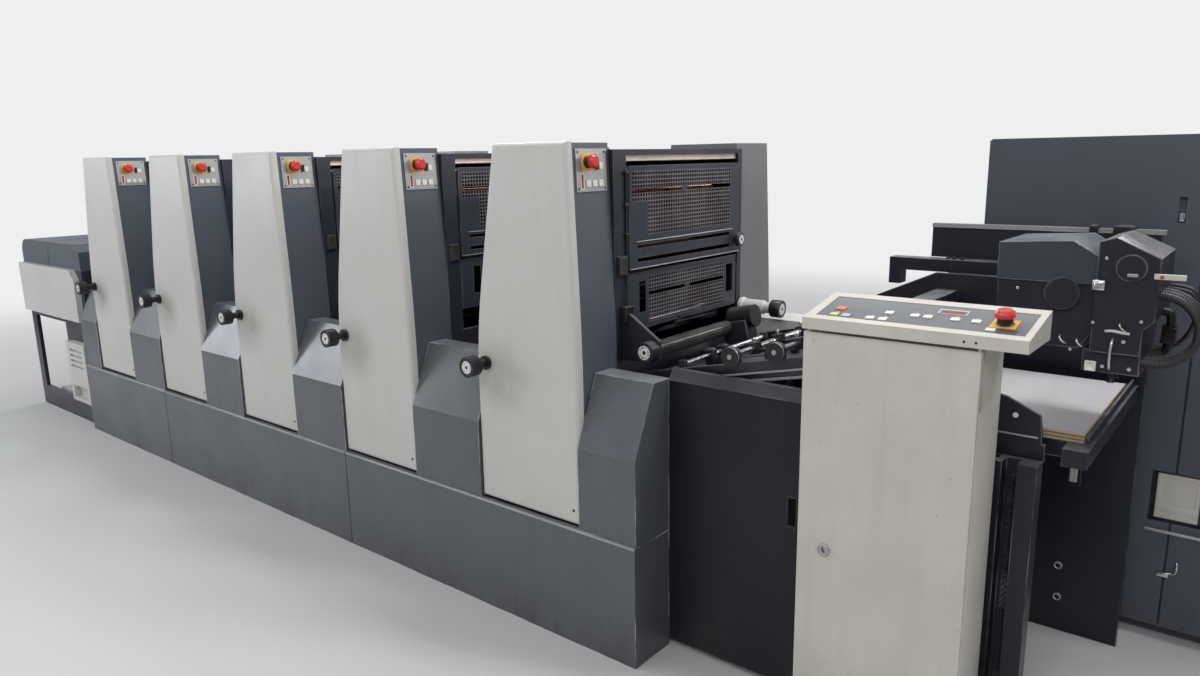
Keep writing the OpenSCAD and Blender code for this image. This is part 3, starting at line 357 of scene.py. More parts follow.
def finish(name, colour, roughness=0.4, metallic=0.0, edge=0.0, edge_colour=EDGE_TINT, smudge=0.3, run=0.0,
           speck=0.0, dust_and_light=0.0, dirt=0.0, dirt_height=0.25, grease=None, peel=0.05, peel_scale=260.0, coat=0.0,
           corner=0.0, hand=0.0):
    material, tree, shader = new_paint(name)
    shade = put(tree, "RGB")
    shade.outputs[0].default_value = srgb(*colour)
    base = shade.outputs[0]
    grease = srgb(*grease) if grease else tuple(v * GREASE_SHADE for v in srgb(*colour)[:3]) + (1,)
    for tint, group, strength, extra in (
            (grease, smudges, smudge, {}), (grease, runs, run, {}), (DUST_AND_LIGHT_TONE, dust_and_light_mask, dust_and_light, {}),
            (DIRT, floor_dirt, dirt, {"Height": dirt_height}), (SPECK, specks, speck, {}),
            (HAND_GREY, hands, hand, {}), (CORNER_SHADE, corners, corner, {"Reach": CORNER_REACH}),
            (srgb(*edge_colour), edge_wear_and_highlight, edge, {})):
        if strength:
            base = blend_in(tree, base, tint, group, strength, **extra)
    spread = put(tree, "MapRange", To_Min=roughness - GLOSS_BELOW, To_Max=roughness + GLOSS_ABOVE)
    bump = put(tree, "Bump", Strength=peel, Distance=0.001)
    wire(tree, (base, shader.inputs["Base Color"]),
         (ramp(tree, noise(tree, 6, 6), 0.25, 0.75), spread.inputs["Value"]),
         (spread.outputs["Result"], shader.inputs["Roughness"]),
         (noise(tree, peel_scale, 2), bump.inputs["Height"]),
         (bump.outputs["Normal"], shader.inputs["Normal"]))
    shader.inputs["Metallic"].default_value = metallic
    shader.inputs["Coat Weight"].default_value = coat
    shader.inputs["Coat Roughness"].default_value = 0.14
    return material

# %% The press's paints
cover_paint = finish("cover_paint", (190, 189, 185), smudge=0.16, run=0.12, speck=0.12, edge=0.35,
                     edge_colour=(226, 224, 218), dirt=0.25, dirt_height=0.55, grease=(150, 143, 128), hand=0.42)
console_paint = finish("console_paint", (191, 188, 179), smudge=0.25, run=0.22, speck=0.25, edge=0.4,
                       edge_colour=(120, 104, 84), dirt=0.5, dirt_height=0.3, grease=(150, 138, 116))
housing_paint = finish("housing_paint", (78, 84, 94), smudge=0.18, run=0.15, speck=0.2, edge=0.5,
                       edge_colour=(150, 156, 160), dust_and_light=0.35)
# The base's strong edge mix paints a highlight along its folds and corners, and its dust mix paints light on the
# step covers' upward slopes as well as dust.
base_paint = finish("base_paint", (80, 83, 89), 0.42, smudge=0.25, run=0.25, speck=0.4, edge=1.5,
                    edge_colour=(186, 186, 180), dust_and_light=0.55, dirt=0.75, dirt_height=0.16, coat=0.35)
# The frames' corner mix paints near-black shade inside the units and in their corners.
frame_paint = finish("frame_paint", (44, 46, 56), 0.34, smudge=0.35, run=0.2, edge=0.55, corner=0.95,
                     edge_colour=(120, 124, 130), dust_and_light=0.3)
drive_paint = finish("drive_paint", (116, 115, 117), 0.3, 0.2, smudge=0.2, run=0.2, edge=0.6,
                     edge_colour=(190, 188, 184), grease=(88, 87, 88), dust_and_light=0.4)
guard_paint = finish("guard_paint", (54, 57, 67), 0.3, smudge=0.35, run=0.2, edge=0.5,
                     edge_colour=(136, 138, 142), grease=(34, 35, 42), dust_and_light=0.25)
web_paint = finish("web_paint", (94, 89, 93), 0.3, run=0.1, speck=0.2, edge=0.4, edge_colour=(150, 150, 152),
                   dust_and_light=0.2)
# The feeder's and the side panel's strong edge and dust mixes paint highlights on edges and chamfers and light on
# upward faces; the feeder's corner mix paints shade.
feeder_paint = finish("feeder_paint", (34, 36, 45), 0.34, run=0.2, speck=0.4, edge=0.8,
                      edge_colour=(132, 134, 138), dust_and_light=0.8, dirt=0.5, dirt_height=0.35, corner=0.6)
panel_paint = finish("panel_paint", (19, 20, 31), 0.36, run=0.2, speck=0.4, edge=1.0,
                     edge_colour=(140, 142, 148), grease=(34, 34, 41), dust_and_light=0.24, dirt=0.5, dirt_height=0.3)
for paint in (panel_paint, feeder_paint):
    paint.node_tree.nodes["Principled BSDF"].inputs["Specular IOR Level"].default_value = 0.32
shell_paint = finish("shell_paint", (54, 58, 71), 0.34, run=0.1, speck=0.3, edge=0.7,
                     edge_colour=(140, 142, 148), dust_and_light=0.7)
cabinet_paint = finish("cabinet_paint", (72, 75, 87), 0.5, smudge=0.12, run=0.12, speck=0.15, edge=0.4,
                       edge_colour=(104, 106, 110), dust_and_light=0.5, dirt=0.4, dirt_height=0.2, peel=0.25,
                       peel_scale=420)

# %% Plastics, metals, rubber and board
black_plastic = finish("black_plastic", (24, 24, 26), 0.38, edge=0.3, edge_colour=(70, 70, 72), dust_and_light=0.3,
                       peel=0.12, peel_scale=700)
red_plastic = finish("red_plastic", (196, 38, 34), 0.3, smudge=0.15, dust_and_light=0.15, coat=0.3)
white_plastic = finish("white_plastic", (214, 213, 204), 0.35, smudge=0.15, coat=0.2)
plate_steel = finish("plate_steel", (172, 172, 172), 0.38, 0.75, smudge=0.25, speck=0.2, edge=0.3,
                     edge_colour=(214, 214, 214), peel=0.1, peel_scale=500)
bright_steel = finish("bright_steel", (206, 206, 208), 0.24, 1.0, speck=0.2, peel=0.03)
worn_steel = finish("worn_steel", (170, 170, 168), 0.34, 0.5, smudge=0.5, speck=0.5, grease=(84, 86, 88), peel=0.1)
worn_dark = finish("worn_dark", (76, 75, 73), 0.3, 0.5, smudge=0.7, grease=(46, 46, 48), edge=0.4,
                   edge_colour=(176, 172, 164))
# The header strip's pale warm colour is partly a painted highlight along the strip.
warm_steel = finish("warm_steel", (206, 190, 180), 0.36, 0.55, smudge=0.4, run=0.25, edge=0.3,
                    edge_colour=(206, 196, 188), grease=(92, 80, 74), peel=0.12, peel_scale=420)
# The rollers and cylinders are kept dark: partly ink and grease, partly painted shade of the inside of the units.
roller_copper = finish("roller_copper", (84, 50, 36), 0.08, 1.0, smudge=0.4, grease=(20, 16, 16), peel=0.03)
cylinder_chrome = finish("cylinder_chrome", (60, 60, 64), 0.09, 1.0, smudge=0.4, grease=(20, 20, 24), peel=0.03)
hose_rubber = finish("hose_rubber", (30, 30, 33), 0.42, smudge=0.25, dust_and_light=0.35, peel=0.2, peel_scale=320)
board_face = finish("board_face", (191, 189, 192), 0.5, speck=0.5, edge=0.7, edge_colour=(150, 128, 98),
                    grease=(168, 160, 150), peel=0.1)
ply_light = finish("ply_light", (176, 158, 128), 0.6, smudge=0.4, grease=(128, 110, 86), peel=0.3)
ply_dark = finish("ply_dark", (132, 110, 82), 0.6, smudge=0.4, grease=(92, 76, 58), peel=0.3)
yellow_paint = finish("yellow_paint", (214, 160, 48), 0.45, speck=0.3)
indicator_red = finish("indicator_red", (150, 40, 44), 0.35, smudge=0.2)
membrane_paint = finish("membrane_paint", (92, 95, 98), 0.42, smudge=0.35, speck=0.5, dust_and_light=0.25, peel=0.08)
mark_white = finish("mark_white", (196, 198, 196), 0.45)
print(len(bpy.data.materials), "finishes")

# %% [markdown]
# Each CAD node keeps its shape and gets a finish. The table lists which nodes wear which one.

# %% Dress the CAD nodes
def of_units(part):
    return [f"unit_{k}_{part}" for k in range(1, 6)]

for paint, names in (
        (cover_paint, of_units("cover") + ["delivery_side_panels", "delivery_box", "feed_drive_cover"]),
        (console_paint, ["console_body", "console_door", "console_top"]),
        (housing_paint, of_units("housing") + ["delivery_hood"]),
        (drive_paint, ["drive_housings"]),
        (base_paint, ["base_panels", "step_covers"]),
        (frame_paint, ["base_bed", "unit_frames", "delivery_frame", "feedboard"]),
        (guard_paint, ["unit_1_upper_guard", "unit_1_lower_guard", "inner_guards"]),
        (panel_paint, ["feed_side_panels"]),
        (feeder_paint, ["feeder_frame", "suction_head", "pile_carriage"]),
        (cabinet_paint, ["cabinet_body", "cabinet_doors"]),
        (black_plastic, of_units("knob") + ["feed_wheels"]),
        (red_plastic, ["stop_heads"]),
        (white_plastic, ["control_buttons"]),
        (plate_steel, ["stop_plates", "feeder_rails"]),
        (cylinder_chrome, ["press_cylinders"]),
        (roller_copper, ["ink_rollers"]),
        (hose_rubber, ["head_hoses"]),
        (board_face, ["pile_board", "delivery_pile_board"])):
    for name in names:
        nodes[name].data.materials.clear()
        nodes[name].data.materials.append(paint)

# %% [markdown]
# The shell over the suction head is a lighter blue grey than the head. Its faces are those above its lower edge
# and before the joint with the round cover, and they get the second material of the same node.

# %% Shell of the suction head
head = nodes["suction_head"]
head.data.materials.append(shell_paint)
shell_end = press(999, 0, 1142)
for face in head.data.polygons:
    points = [head.matrix_world @ head.data.vertices[i].co for i in face.vertices]
    if all(point.x < shell_end.x + 0.002 and point.z > shell_end.z for point in points):
        face.material_index = 1
print(sum(face.material_index for face in head.data.polygons), "faces of the head have the shell's paint")

# %% [markdown]
# ## Modelling by hand, in code
# Small pieces start as a primitive and are shaped as one would by hand: pick faces, inset, extrude, bevel. These
# helpers only shorten the steps that come back in every piece. Sizes inside a piece are in millimetres, as on a
# workshop drawing, and a matrix puts the finished piece at its place on the press.

# %% Helpers to start, pick, bevel and place
UP, TO_OPERATOR, TO_FEEDER = Vector((0, 0, 1)), Vector((0, -1, 0)), Vector((1, 0, 0))
def start(kind, name, **size):
    """Adds one primitive with nothing else selected, and names it."""
    deselect()
    getattr(bpy.ops.mesh, "primitive_" + kind + "_add")(**size)
    piece = bpy.context.object
    piece.name = piece.data.name = name
    return piece

def pick(piece, test, kind="FACE"):
    """Goes into edit mode with the faces (middle, normal) or edges (both ends) selected that pass the test."""
    bpy.context.view_layer.objects.active = piece
    bpy.ops.object.mode_set(mode="EDIT")
    bpy.ops.mesh.select_mode(type=kind)
    bpy.ops.mesh.select_all(action="DESELECT")
    bpy.ops.object.mode_set(mode="OBJECT")
    mesh = piece.data
    if kind == "FACE":
        for face in mesh.polygons:
            face.select = test(face.center, face.normal)
    else:
        for edge in mesh.edges:
            edge.select = test(*[mesh.vertices[i].co for i in edge.vertices])
    bpy.ops.object.mode_set(mode="EDIT")

def shape_with(piece, kind, **settings):
    """Adds a modifier with its settings and applies it."""
    if piece.mode != "OBJECT":
        bpy.ops.object.mode_set(mode="OBJECT")
    bpy.context.view_layer.objects.active = piece
    modifier = piece.modifiers.new(kind.lower(), kind)
    for key, value in settings.items():
        setattr(modifier, key, value)
    bpy.ops.object.modifier_apply(modifier=modifier.name)

def press_in(piece, direction, *steps):
    """Insets the faces that look along a direction, by each (thickness, depth) in millimetres."""
    pick(piece, lambda middle, normal: normal.dot(direction) > 0.99)
    for thickness, depth in steps:
        bpy.ops.mesh.inset(thickness=thickness * MM, depth=depth * MM)
    bpy.ops.object.mode_set(mode="OBJECT")

def paint_picked(piece, index):
    """Gives the faces that are still selected another of the piece's materials."""
    bpy.ops.object.mode_set(mode="EDIT")
    piece.active_material_index = index
    bpy.ops.object.material_slot_assign()
    bpy.ops.object.mode_set(mode="OBJECT")

def place(piece, material, where=None, body="root", slot=None, smooth=30):
    """Puts a finished piece at its place in its mesh, gives it its finish and lets it ride on its body. The slot
    argument is not used."""
    deselect()
    piece.select_set(True)
    bpy.context.view_layer.objects.active = piece
    bpy.ops.object.transform_apply(location=True, rotation=True, scale=True)
    if where is not None:
        piece.data.transform(where)
        piece.data.update()
    if material.name not in piece.data.materials:
        piece.data.materials.append(material)
    if smooth:
        bpy.ops.object.shade_smooth_by_angle(angle=radians(smooth))
    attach(piece, body)
    return piece

def twin(piece, name, where, body="root"):
    """Copies a finished piece with its own mesh, moved by a matrix."""
    copy = piece.copy()
    copy.data = piece.data.copy()
    copy.name = copy.data.name = name
    bpy.context.scene.collection.objects.link(copy)
    copy.data.transform(where)
    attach(copy, body)
    return copy

def moved(piece, where):
    """Moves the mesh of a part, so that it can go into the list of parts of a joined piece."""
    piece.data.transform(where)
    return piece

def to_other_units(*pieces, body="root"):
    """Copies finished pieces of unit 1 to the units 2 to 5. The unit's number in a name changes, or is added."""
    copies = []
    for k in range(2, 6):
        for piece in pieces:
            name = piece.name.replace("_1_", f"_{k}_") if "_1_" in piece.name else f"{piece.name}_{k}"
            copies.append(twin(piece, name, along(k), body.format(k=k)))
    return copies

def join(pieces, name):
    deselect()
    for piece in pieces:
        piece.select_set(True)
    bpy.context.view_layer.objects.active = pieces[0]
    bpy.ops.object.join()
    pieces[0].name = pieces[0].data.name = name
    return pieces[0]

def block(name, low, high, bevel=0.6, segments=2):
    """A box between two corners in millimetres, with its edges rounded."""
    low, high = Vector(low) * MM, Vector(high) * MM
    piece = start("cube", name, size=1, location=(low + high) / 2)
    piece.scale = high - low
    bpy.ops.object.transform_apply(location=True, rotation=True, scale=True)
    shape_with(piece, "BEVEL", width=bevel * MM, segments=segments, limit_method="ANGLE")
    return piece

def turned(name, steps, sides=32):
    """A turned shape along Z: a filled circle, extruded and scaled from each (radius, height) to the next."""
    radius, height = steps[0]
    piece = start("circle", name, vertices=sides, radius=radius * MM, fill_type="NGON",
                  location=(0, 0, height * MM))
    bpy.ops.object.transform_apply(location=True)
    bpy.ops.object.mode_set(mode="EDIT")
    bpy.ops.mesh.select_all(action="SELECT")
    for next_radius, next_height in steps[1:]:
        rise = (next_height - height) * MM
        bpy.ops.mesh.extrude_region_move(TRANSFORM_OT_translate={"value": (0, 0, rise)})
        ratio = next_radius / radius
        bpy.ops.transform.resize(value=(ratio, ratio, 1))
        radius, height = next_radius, next_height
    bpy.ops.mesh.select_all(action="SELECT")
    bpy.ops.mesh.normals_make_consistent(inside=False)
    bpy.ops.object.mode_set(mode="OBJECT")
    return piece

# %% [markdown]
# Parts that sit on a leaning or sloping face are drawn flat and put on it with that face's own frame. There are
# three such faces: the stop plates on the leaning sides of the units, the console's desk and the feed table.

# %% Frames of the leaning faces
def shift(x, y, z):
    return Matrix.Translation((x * MM, y * MM, z * MM))

def at(x, y, z):
    return Matrix.Translation(press(x, y, z))

def along(k):
    """From a place on unit 1 to the same place on unit k."""
    return shift(-(k - 1) * UNIT_PITCH, 0, 0)

PRESS = at(0, 0, 0)

LEAN = radians(2.3814)
DESK_SLOPE = radians(11.184)
TABLE_SLOPE = radians(12.6)

TABLE_FOOT_X, TABLE_FOOT_Z = -188, 772
# The stop plate of unit 1: X stands out of it, Y runs along it, Z up.
ON_PLATE = at(UNIT_1 + 409, 54, 900) @ Matrix.Rotation(-LEAN, 4, "Y") @ shift(0.3, 0, 440)
ON_DESK = at(485, -10, 1076) @ Matrix.Rotation(DESK_SLOPE, 4, "X")
ON_TABLE = at(TABLE_FOOT_X, 0, TABLE_FOOT_Z) @ Matrix.Rotation(-TABLE_SLOPE, 4, "Y")

FACING_OPERATOR = Matrix.Rotation(radians(90), 4, "X")
FACING_FEEDER = Matrix.Rotation(radians(90), 4, "Y")
print("stop plate of unit 1 at", [round(v, 3) for v in ON_PLATE.translation])

# %% [markdown]
# ## Perforated guards
# The guards over the rollers are sheet steel pans: a punched face, its edges folded back, and a stiff rail with
# the hinge pin along the top. The face starts as one plane that is bisected along every row and column. The cells
# of the punched fields are inset one by one and their middles deleted, which leaves square holes with webs
# between them. Then the outer edges are extruded back and a Solidify modifier gives the sheet its thickness.
# The webs get a paler paint, because the holes' edges are rubbed wherever a cloth wipes the sheet.

# %% Punched sheet
CELL_Y = 13.3
CELL_Z = 12.6
LOWER_CELL_Z = 12.1
WEB = 1.9
SHEET = 1.3

def punched_pan(name, ys, zs, is_hole, is_slot, depth):
    """Sheet facing +X with its lower corner at the origin. The two tests get the middle of a cell in mm."""
    width, height = ys[-1], zs[-1]
    piece = start("plane", name, size=1)
    bpy.ops.object.mode_set(mode="EDIT")
    bpy.ops.mesh.select_all(action="SELECT")
    bpy.ops.transform.translate(value=(0.5, 0.5, 0))
    bpy.ops.transform.resize(value=(width * MM, height * MM, 1), center_override=(0, 0, 0))
    bpy.ops.object.mode_set(mode="OBJECT")
    piece.data.transform(Matrix(((0, 0, 1, 0), (1, 0, 0, 0), (0, 1, 0, 0), (0, 0, 0, 1))))
    bpy.ops.object.mode_set(mode="EDIT")
    for direction, cuts in (((0, 1, 0), ys[1:-1]), ((0, 0, 1), zs[1:-1])):
        for mark in cuts:
            bpy.ops.mesh.select_all(action="SELECT")
            bpy.ops.mesh.bisect(plane_co=Vector(direction) * mark * MM, plane_no=direction)
    pick(piece, lambda middle, normal: is_hole(middle.y / MM, middle.z / MM))
    bpy.ops.mesh.inset(thickness=WEB * MM, depth=0, use_individual=True)
    bpy.ops.mesh.delete(type="FACE")
    pick(piece, lambda middle, normal: is_slot(middle.y / MM, middle.z / MM))
    bpy.ops.mesh.delete(type="FACE")
    limits = ((1, 0), (1, width * MM), (2, 0), (2, height * MM))
    for axis, limit in limits:
        pick(piece, lambda a, b: abs(a.x) < 1e-6 and abs(b.x) < 1e-6 and abs(a[axis] - limit) < 1e-6
             and abs(b[axis] - limit) < 1e-6, "EDGE")
        bpy.ops.mesh.extrude_region_move(TRANSFORM_OT_translate={"value": (-depth * MM, 0, 0)})
    bpy.ops.mesh.select_all(action="SELECT")
    bpy.ops.mesh.remove_doubles(threshold=1e-6)
    bpy.ops.mesh.normals_make_consistent(inside=False)
    shape_with(piece, "SOLIDIFY", thickness=SHEET * MM, offset=-1)
    piece.data.materials.append(guard_paint)
    piece.data.materials.append(web_paint)
    for face in piece.data.polygons:
        face.material_index = int(is_hole(face.center.y / MM, face.center.z / MM))
    return piece

def marks(first, step, count):
    return [round(first + i * step, 3) for i in range(count + 1)]

# %% [markdown]
# The upper guard's field is stepped: seven rows over the whole width with one long slot among them, and eight
# narrower rows below. Under the field lie two long grip slots. The lower guard has one field with a slot in it and
# an upright grip slot at each side.

# %% Upper guard
PAN_W = 628
UPPER_H = 306
LOWER_H = 176
field_y, field_z, columns, rows = 14, 100, 42, 15
upper_ys = [0] + marks(field_y, CELL_Y, columns) + [PAN_W]
upper_zs = [0, 20, 32, 62, 72] + marks(field_z, CELL_Z, rows) + [UPPER_H]
field_end = upper_ys[-2]
slot_low = field_z + 10 * CELL_Z
slot_high = slot_low + CELL_Z
field_middle = field_y + 21 * CELL_Y

def upper_hole(y, z):
    inside = field_y < y < field_end and field_z < z < upper_zs[-2]
    stepped = z > field_z + 8 * CELL_Z or y > field_y + 6 * CELL_Y
    return inside and stepped and not slot_low < z < slot_high

def upper_slot(y, z):
    long_slot = slot_low < z < slot_high and field_y < y < field_end and abs(y - field_middle) > CELL_Y
    grips = (20 < z < 32 or 62 < z < 72) and field_y + 2 * CELL_Y < y < field_end
    return long_slot or grips

def add_rail(pan, height, depth):
    rail = block("rail", (-depth, 2, height - 16), (-SHEET, PAN_W - 2, height - SHEET), 1)
    pin = turned("pin", [(3.4, -5), (4, -4), (4, PAN_W + 4), (3.4, PAN_W + 5)], 20)
    pin.data.transform(shift(-depth / 2, 0, height - 8) @ Matrix.Rotation(-pi / 2, 4, "X"))
    return join([pan, rail, pin], pan.name)

upper_pan = add_rail(punched_pan("upper_guard_pan", upper_ys, upper_zs, upper_hole, upper_slot, 20), UPPER_H, 22)
place(upper_pan, guard_paint, at(-210, 266, 1102), "upper_guard")
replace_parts(upper_pan, "unit_1_upper_guard")
print("upper guard has", len(upper_pan.data.polygons), "faces")

# %% Lower guard
lower_y, lower_z, lower_columns, lower_rows = 108, 14, 33, 12
lower_ys = [0, 58, 92] + marks(lower_y, CELL_Y, lower_columns) + [564, 610, PAN_W]
lower_zs = [0] + marks(lower_z, LOWER_CELL_Z, lower_rows) + [LOWER_H]
lower_end = lower_y + lower_columns * CELL_Y
band = lower_z + 7 * LOWER_CELL_Z
lower_middle = lower_y + 16.5 * CELL_Y

def lower_hole(y, z):
    return lower_y < y < lower_end and lower_z < z < lower_zs[-2] and not band < z < band + LOWER_CELL_Z

def lower_slot(y, z):
    in_band = band < z < band + LOWER_CELL_Z and lower_y < y < lower_end and abs(y - lower_middle) > CELL_Y
    grips = (58 < y < 92 or 564 < y < 610) and 47 < z < 146
    return in_band or grips

lower_pan = add_rail(punched_pan("lower_guard_pan", lower_ys, lower_zs, lower_hole, lower_slot, 16), LOWER_H, 18)
place(lower_pan, guard_paint, at(-218, 266, 914), "lower_guard")
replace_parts(lower_pan, "unit_1_lower_guard")
print("lower guard has", len(lower_pan.data.polygons), "faces")

# %% [markdown]
# Two edges of the guards are pale steel strips that paint the highlight along them: the lip under the upper guard,
# and the upper edge of its grip. They are separate strips: bars whose edges are bevelled round.

# %% Bright lips
upper_lip = block("upper_guard_lip", (-18, 0, -0.2), (5, PAN_W, 2.6), 1)
place(upper_lip, plate_steel, at(-210, 266, 1102), "upper_guard")
grip_edge = block("upper_guard_grip_edge", (-1, 34, 80), (4, 586, 83), 1)
place(grip_edge, plate_steel, at(-210, 266, 1102), "upper_guard")
lower_lip = block("lower_guard_lip", (-14, 2, 172.6), (2.4, PAN_W - 2, 175.8), 1)
place(lower_lip, guard_paint, at(-218, 266, 914), "lower_guard")

# %% [markdown]
# Units 2 to 5 have the same guards. The finished pieces are copied and moved one unit along, and together they
# stand for the plain CAD sheets there.

# %% Guards of the other units
for copy in to_other_units(upper_pan, lower_pan, upper_lip, grip_edge):
    if "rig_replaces" in copy:
        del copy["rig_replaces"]
        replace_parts(copy, "inner_guards")
print("guards copied to units 2 to 5")

# %% [markdown]
# ## Suction hoses
# Three ribbed hoses leave the suction head at its outer side, loop round and go back into the sucker block. A
# hose is one short ring that an Array repeats along a straight line, and a Curve modifier lays that line on the
# hose's route. The ring's middle edge is drawn in, so that the repeated rings make ribs.

# %% Ribbed hoses
HOSE_R = 9
BEND_R = 75
HEAD_END = 1114.3
HOSE_LOW = 977
RIB = 5
straight = 20

def hose_route(y):
    turn = [(HEAD_END + BEND_R * sin(a), y, HOSE_LOW + BEND_R + BEND_R * cos(a))
            for a in (pi * i / 24 for i in range(25))]
    return [press(*point) for point in turn + [(HEAD_END - straight, y, HOSE_LOW)]]

hose_length = (pi * BEND_R + straight) * MM
for i in range(3):
    route = hose_route(370 + 36 * i)
    line = bpy.data.curves.new(f"hose_route_{i + 1}", "CURVE")
    line.dimensions = "3D"
    spline = line.splines.new("POLY")
    spline.points.add(len(route) - 1)
    for knot, point in zip(spline.points, route):
        knot.co = (*point, 1)
    guide = bpy.data.objects.new(f"hose_guide_{i + 1}", line)
    bpy.context.scene.collection.objects.link(guide)
    ring = start("cylinder", f"suction_hose_{i + 1}", vertices=20, radius=HOSE_R * MM, depth=RIB * MM,
                 end_fill_type="NOTHING")
    bpy.ops.object.mode_set(mode="EDIT")
    for cut in (-0.9, 0.9):
        bpy.ops.mesh.select_all(action="SELECT")
        bpy.ops.mesh.bisect(plane_co=(0, 0, cut * MM), plane_no=(0, 0, 1))
    pick(ring, lambda a, b: abs(a.z) < 0.001 and abs(b.z) < 0.001 and abs(a.z - b.z) < 1e-6, "EDGE")
    bpy.ops.transform.resize(value=(0.9, 0.9, 1), center_override=(0, 0, 0))
    bpy.ops.object.mode_set(mode="OBJECT")
    ring.data.transform(shift(RIB / 2, 0, 0) @ Matrix.Rotation(radians(90), 4, "Y"))
    shape_with(ring, "ARRAY", fit_type="FIT_LENGTH", fit_length=hose_length, use_merge_vertices=True,
               merge_threshold=0.0001)
    shape_with(ring, "CURVE", object=guide, deform_axis="POS_X")
    bpy.data.objects.remove(guide)
    pick(ring, lambda a, b: True, "EDGE")
    bpy.ops.mesh.fill_holes(sides=24)
    bpy.ops.mesh.select_all(action="SELECT")
    bpy.ops.mesh.normals_make_consistent(inside=False)
    bpy.ops.object.mode_set(mode="OBJECT")
    place(ring, hose_rubber, None, "root", "hose_rubber", 60)
    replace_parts(ring, "head_hoses")
print("three hoses of", round(hose_length, 3), "m")

# %% [markdown]
# ## Dials
# The hand knobs carry a white dial that the operator reads while turning. A dial is turned from a circle with
# rings. Its rim and its raised hub are black, and so is every fourth face of one ring, which gives twelve ticks.
# Numbers are too small to read from where anyone stands, so the ticks are enough.

# %% Turn a dial
TICK_FACES = 48
TICK_ANGLE = 360 / TICK_FACES

def angle_round_z(point):
    """Angle of a point round the Z axis, 0 to 360 degrees."""
    turn = Vector((1, 0)).angle_signed(point.xy, 0)
    return (-turn * 180 / pi) % 360

def dial(name, radius, tick_every=4):
    tick_out, tick_in = radius * 0.74, radius * 0.5
    piece = turned(name, [(radius, 0), (radius, 1.0), (radius - 0.6, 1.5), (radius * 0.84, 1.5), (tick_out, 1.5),
                          (tick_in, 1.5), (radius * 0.24, 1.5), (radius * 0.22, 1.8), (radius * 0.14, 1.9)],
                   TICK_FACES)
    for paint in (white_plastic, black_plastic):
        piece.data.materials.append(paint)

    def dark(middle, normal):
        distance = middle.xy.length / MM
        if distance < radius * 0.26 or distance > radius * 0.84:
            return True
        step = int((angle_round_z(middle) + TICK_ANGLE / 2) / TICK_ANGLE)
        return tick_in < distance < tick_out and normal.z > 0.9 and step % tick_every == 0

    pick(piece, dark)
    paint_picked(piece, 1)
    return piece

KNOB_FACE_Y = -70.3
knob_dial = dial("knob_1_dial", 23.5)
place(knob_dial, white_plastic, at(UNIT_1 + 45, KNOB_FACE_Y, 820) @ FACING_OPERATOR, "knob_1")
to_other_units(knob_dial, body="knob_{k}")
print("dials of", len(knob_dial.data.polygons), "faces on the five knobs")

# %% [markdown]
# Two more dials belong to the first unit: one closes the end of the roll, the other sits on a black knob at the
# far side, on its own pale tube. A third small one locks the upper guard.

# %% Dials of the roll, the far knob and the guard
roll_dial = dial("roll_dial", 25, 2)
ROLL_ALONG, ROLL_LIFT = 99, 84
roll_end = Vector((TABLE_FOOT_X + ROLL_ALONG * cos(TABLE_SLOPE) - ROLL_LIFT * sin(TABLE_SLOPE), 0,
                   TABLE_FOOT_Z + ROLL_ALONG * sin(TABLE_SLOPE) + ROLL_LIFT * cos(TABLE_SLOPE)))
place(roll_dial, white_plastic, at(roll_end.x, 200, roll_end.z) @ FACING_OPERATOR)
roll_bezel = turned("roll_bezel", [(31, -12), (31, 1.4), (30, 2.4), (26.5, 2.4), (25.4, 0.6), (25.2, -3)], 40)
place(roll_bezel, black_plastic, at(roll_end.x, 200, roll_end.z) @ FACING_OPERATOR)

far_knob_at = at(-90, 930, 903) @ FACING_FEEDER
far_tube = turned("far_knob_tube", [(30, -121), (30, -110), (25, -104), (25, -30), (19, -26), (19, -3), (17, 0)],
                  32)
place(far_tube, cover_paint, far_knob_at)
far_knob = turned("far_knob", [(20, 0), (29, 2), (31, 5), (31, 38), (29.5, 41), (24.5, 41), (23.8, 39)], 40)
shape_with(far_knob, "BEVEL", width=0.6 * MM, segments=2, limit_method="ANGLE")
place(far_knob, black_plastic, far_knob_at)
place(dial("far_knob_dial", 23.6), white_plastic, far_knob_at @ shift(0, 0, 39.2))

guard_knob_at = at(-210, 876, 1145) @ FACING_FEEDER
guard_knob = turned("guard_knob", [(12, 0), (12, 8), (23, 11), (25, 14), (25, 22), (23, 25), (20, 25)], 36)
place(guard_knob, black_plastic, guard_knob_at, "upper_guard")
place(dial("guard_knob_dial", 19.5, 6), white_plastic, guard_knob_at @ shift(0, 0, 24.8), "upper_guard")

# %% [markdown]
# ## Stop plates
# The plates on the leaning sides carry more than the CAD's buttons: four corner screws, the yellow square that
# marks an emergency stop, a black collar under its red head, a black selector beside the upper button and a
# red-and-white indicator in the lower row. They are drawn flat, in the plate's own millimetres.

# %% Fittings of the stop plates
PLATE_FACE = 3.0

def screw(name, y, z, radius=3.2):
    """Slotted screw head that faces +X: a turned head with a groove pressed into it."""
    head = turned(name, [(radius, 0), (radius, 0.6), (radius * 0.8, 1.3), (radius * 0.3, 1.5)], 16)
    pick(head, lambda middle, normal: normal.z > 0.9 and abs(middle.x) < 0.001)
    bpy.ops.mesh.inset(thickness=0.2 * MM, depth=-0.5 * MM)
    bpy.ops.object.mode_set(mode="OBJECT")
    head.data.transform(shift(PLATE_FACE, y, z) @ FACING_FEEDER)
    return head

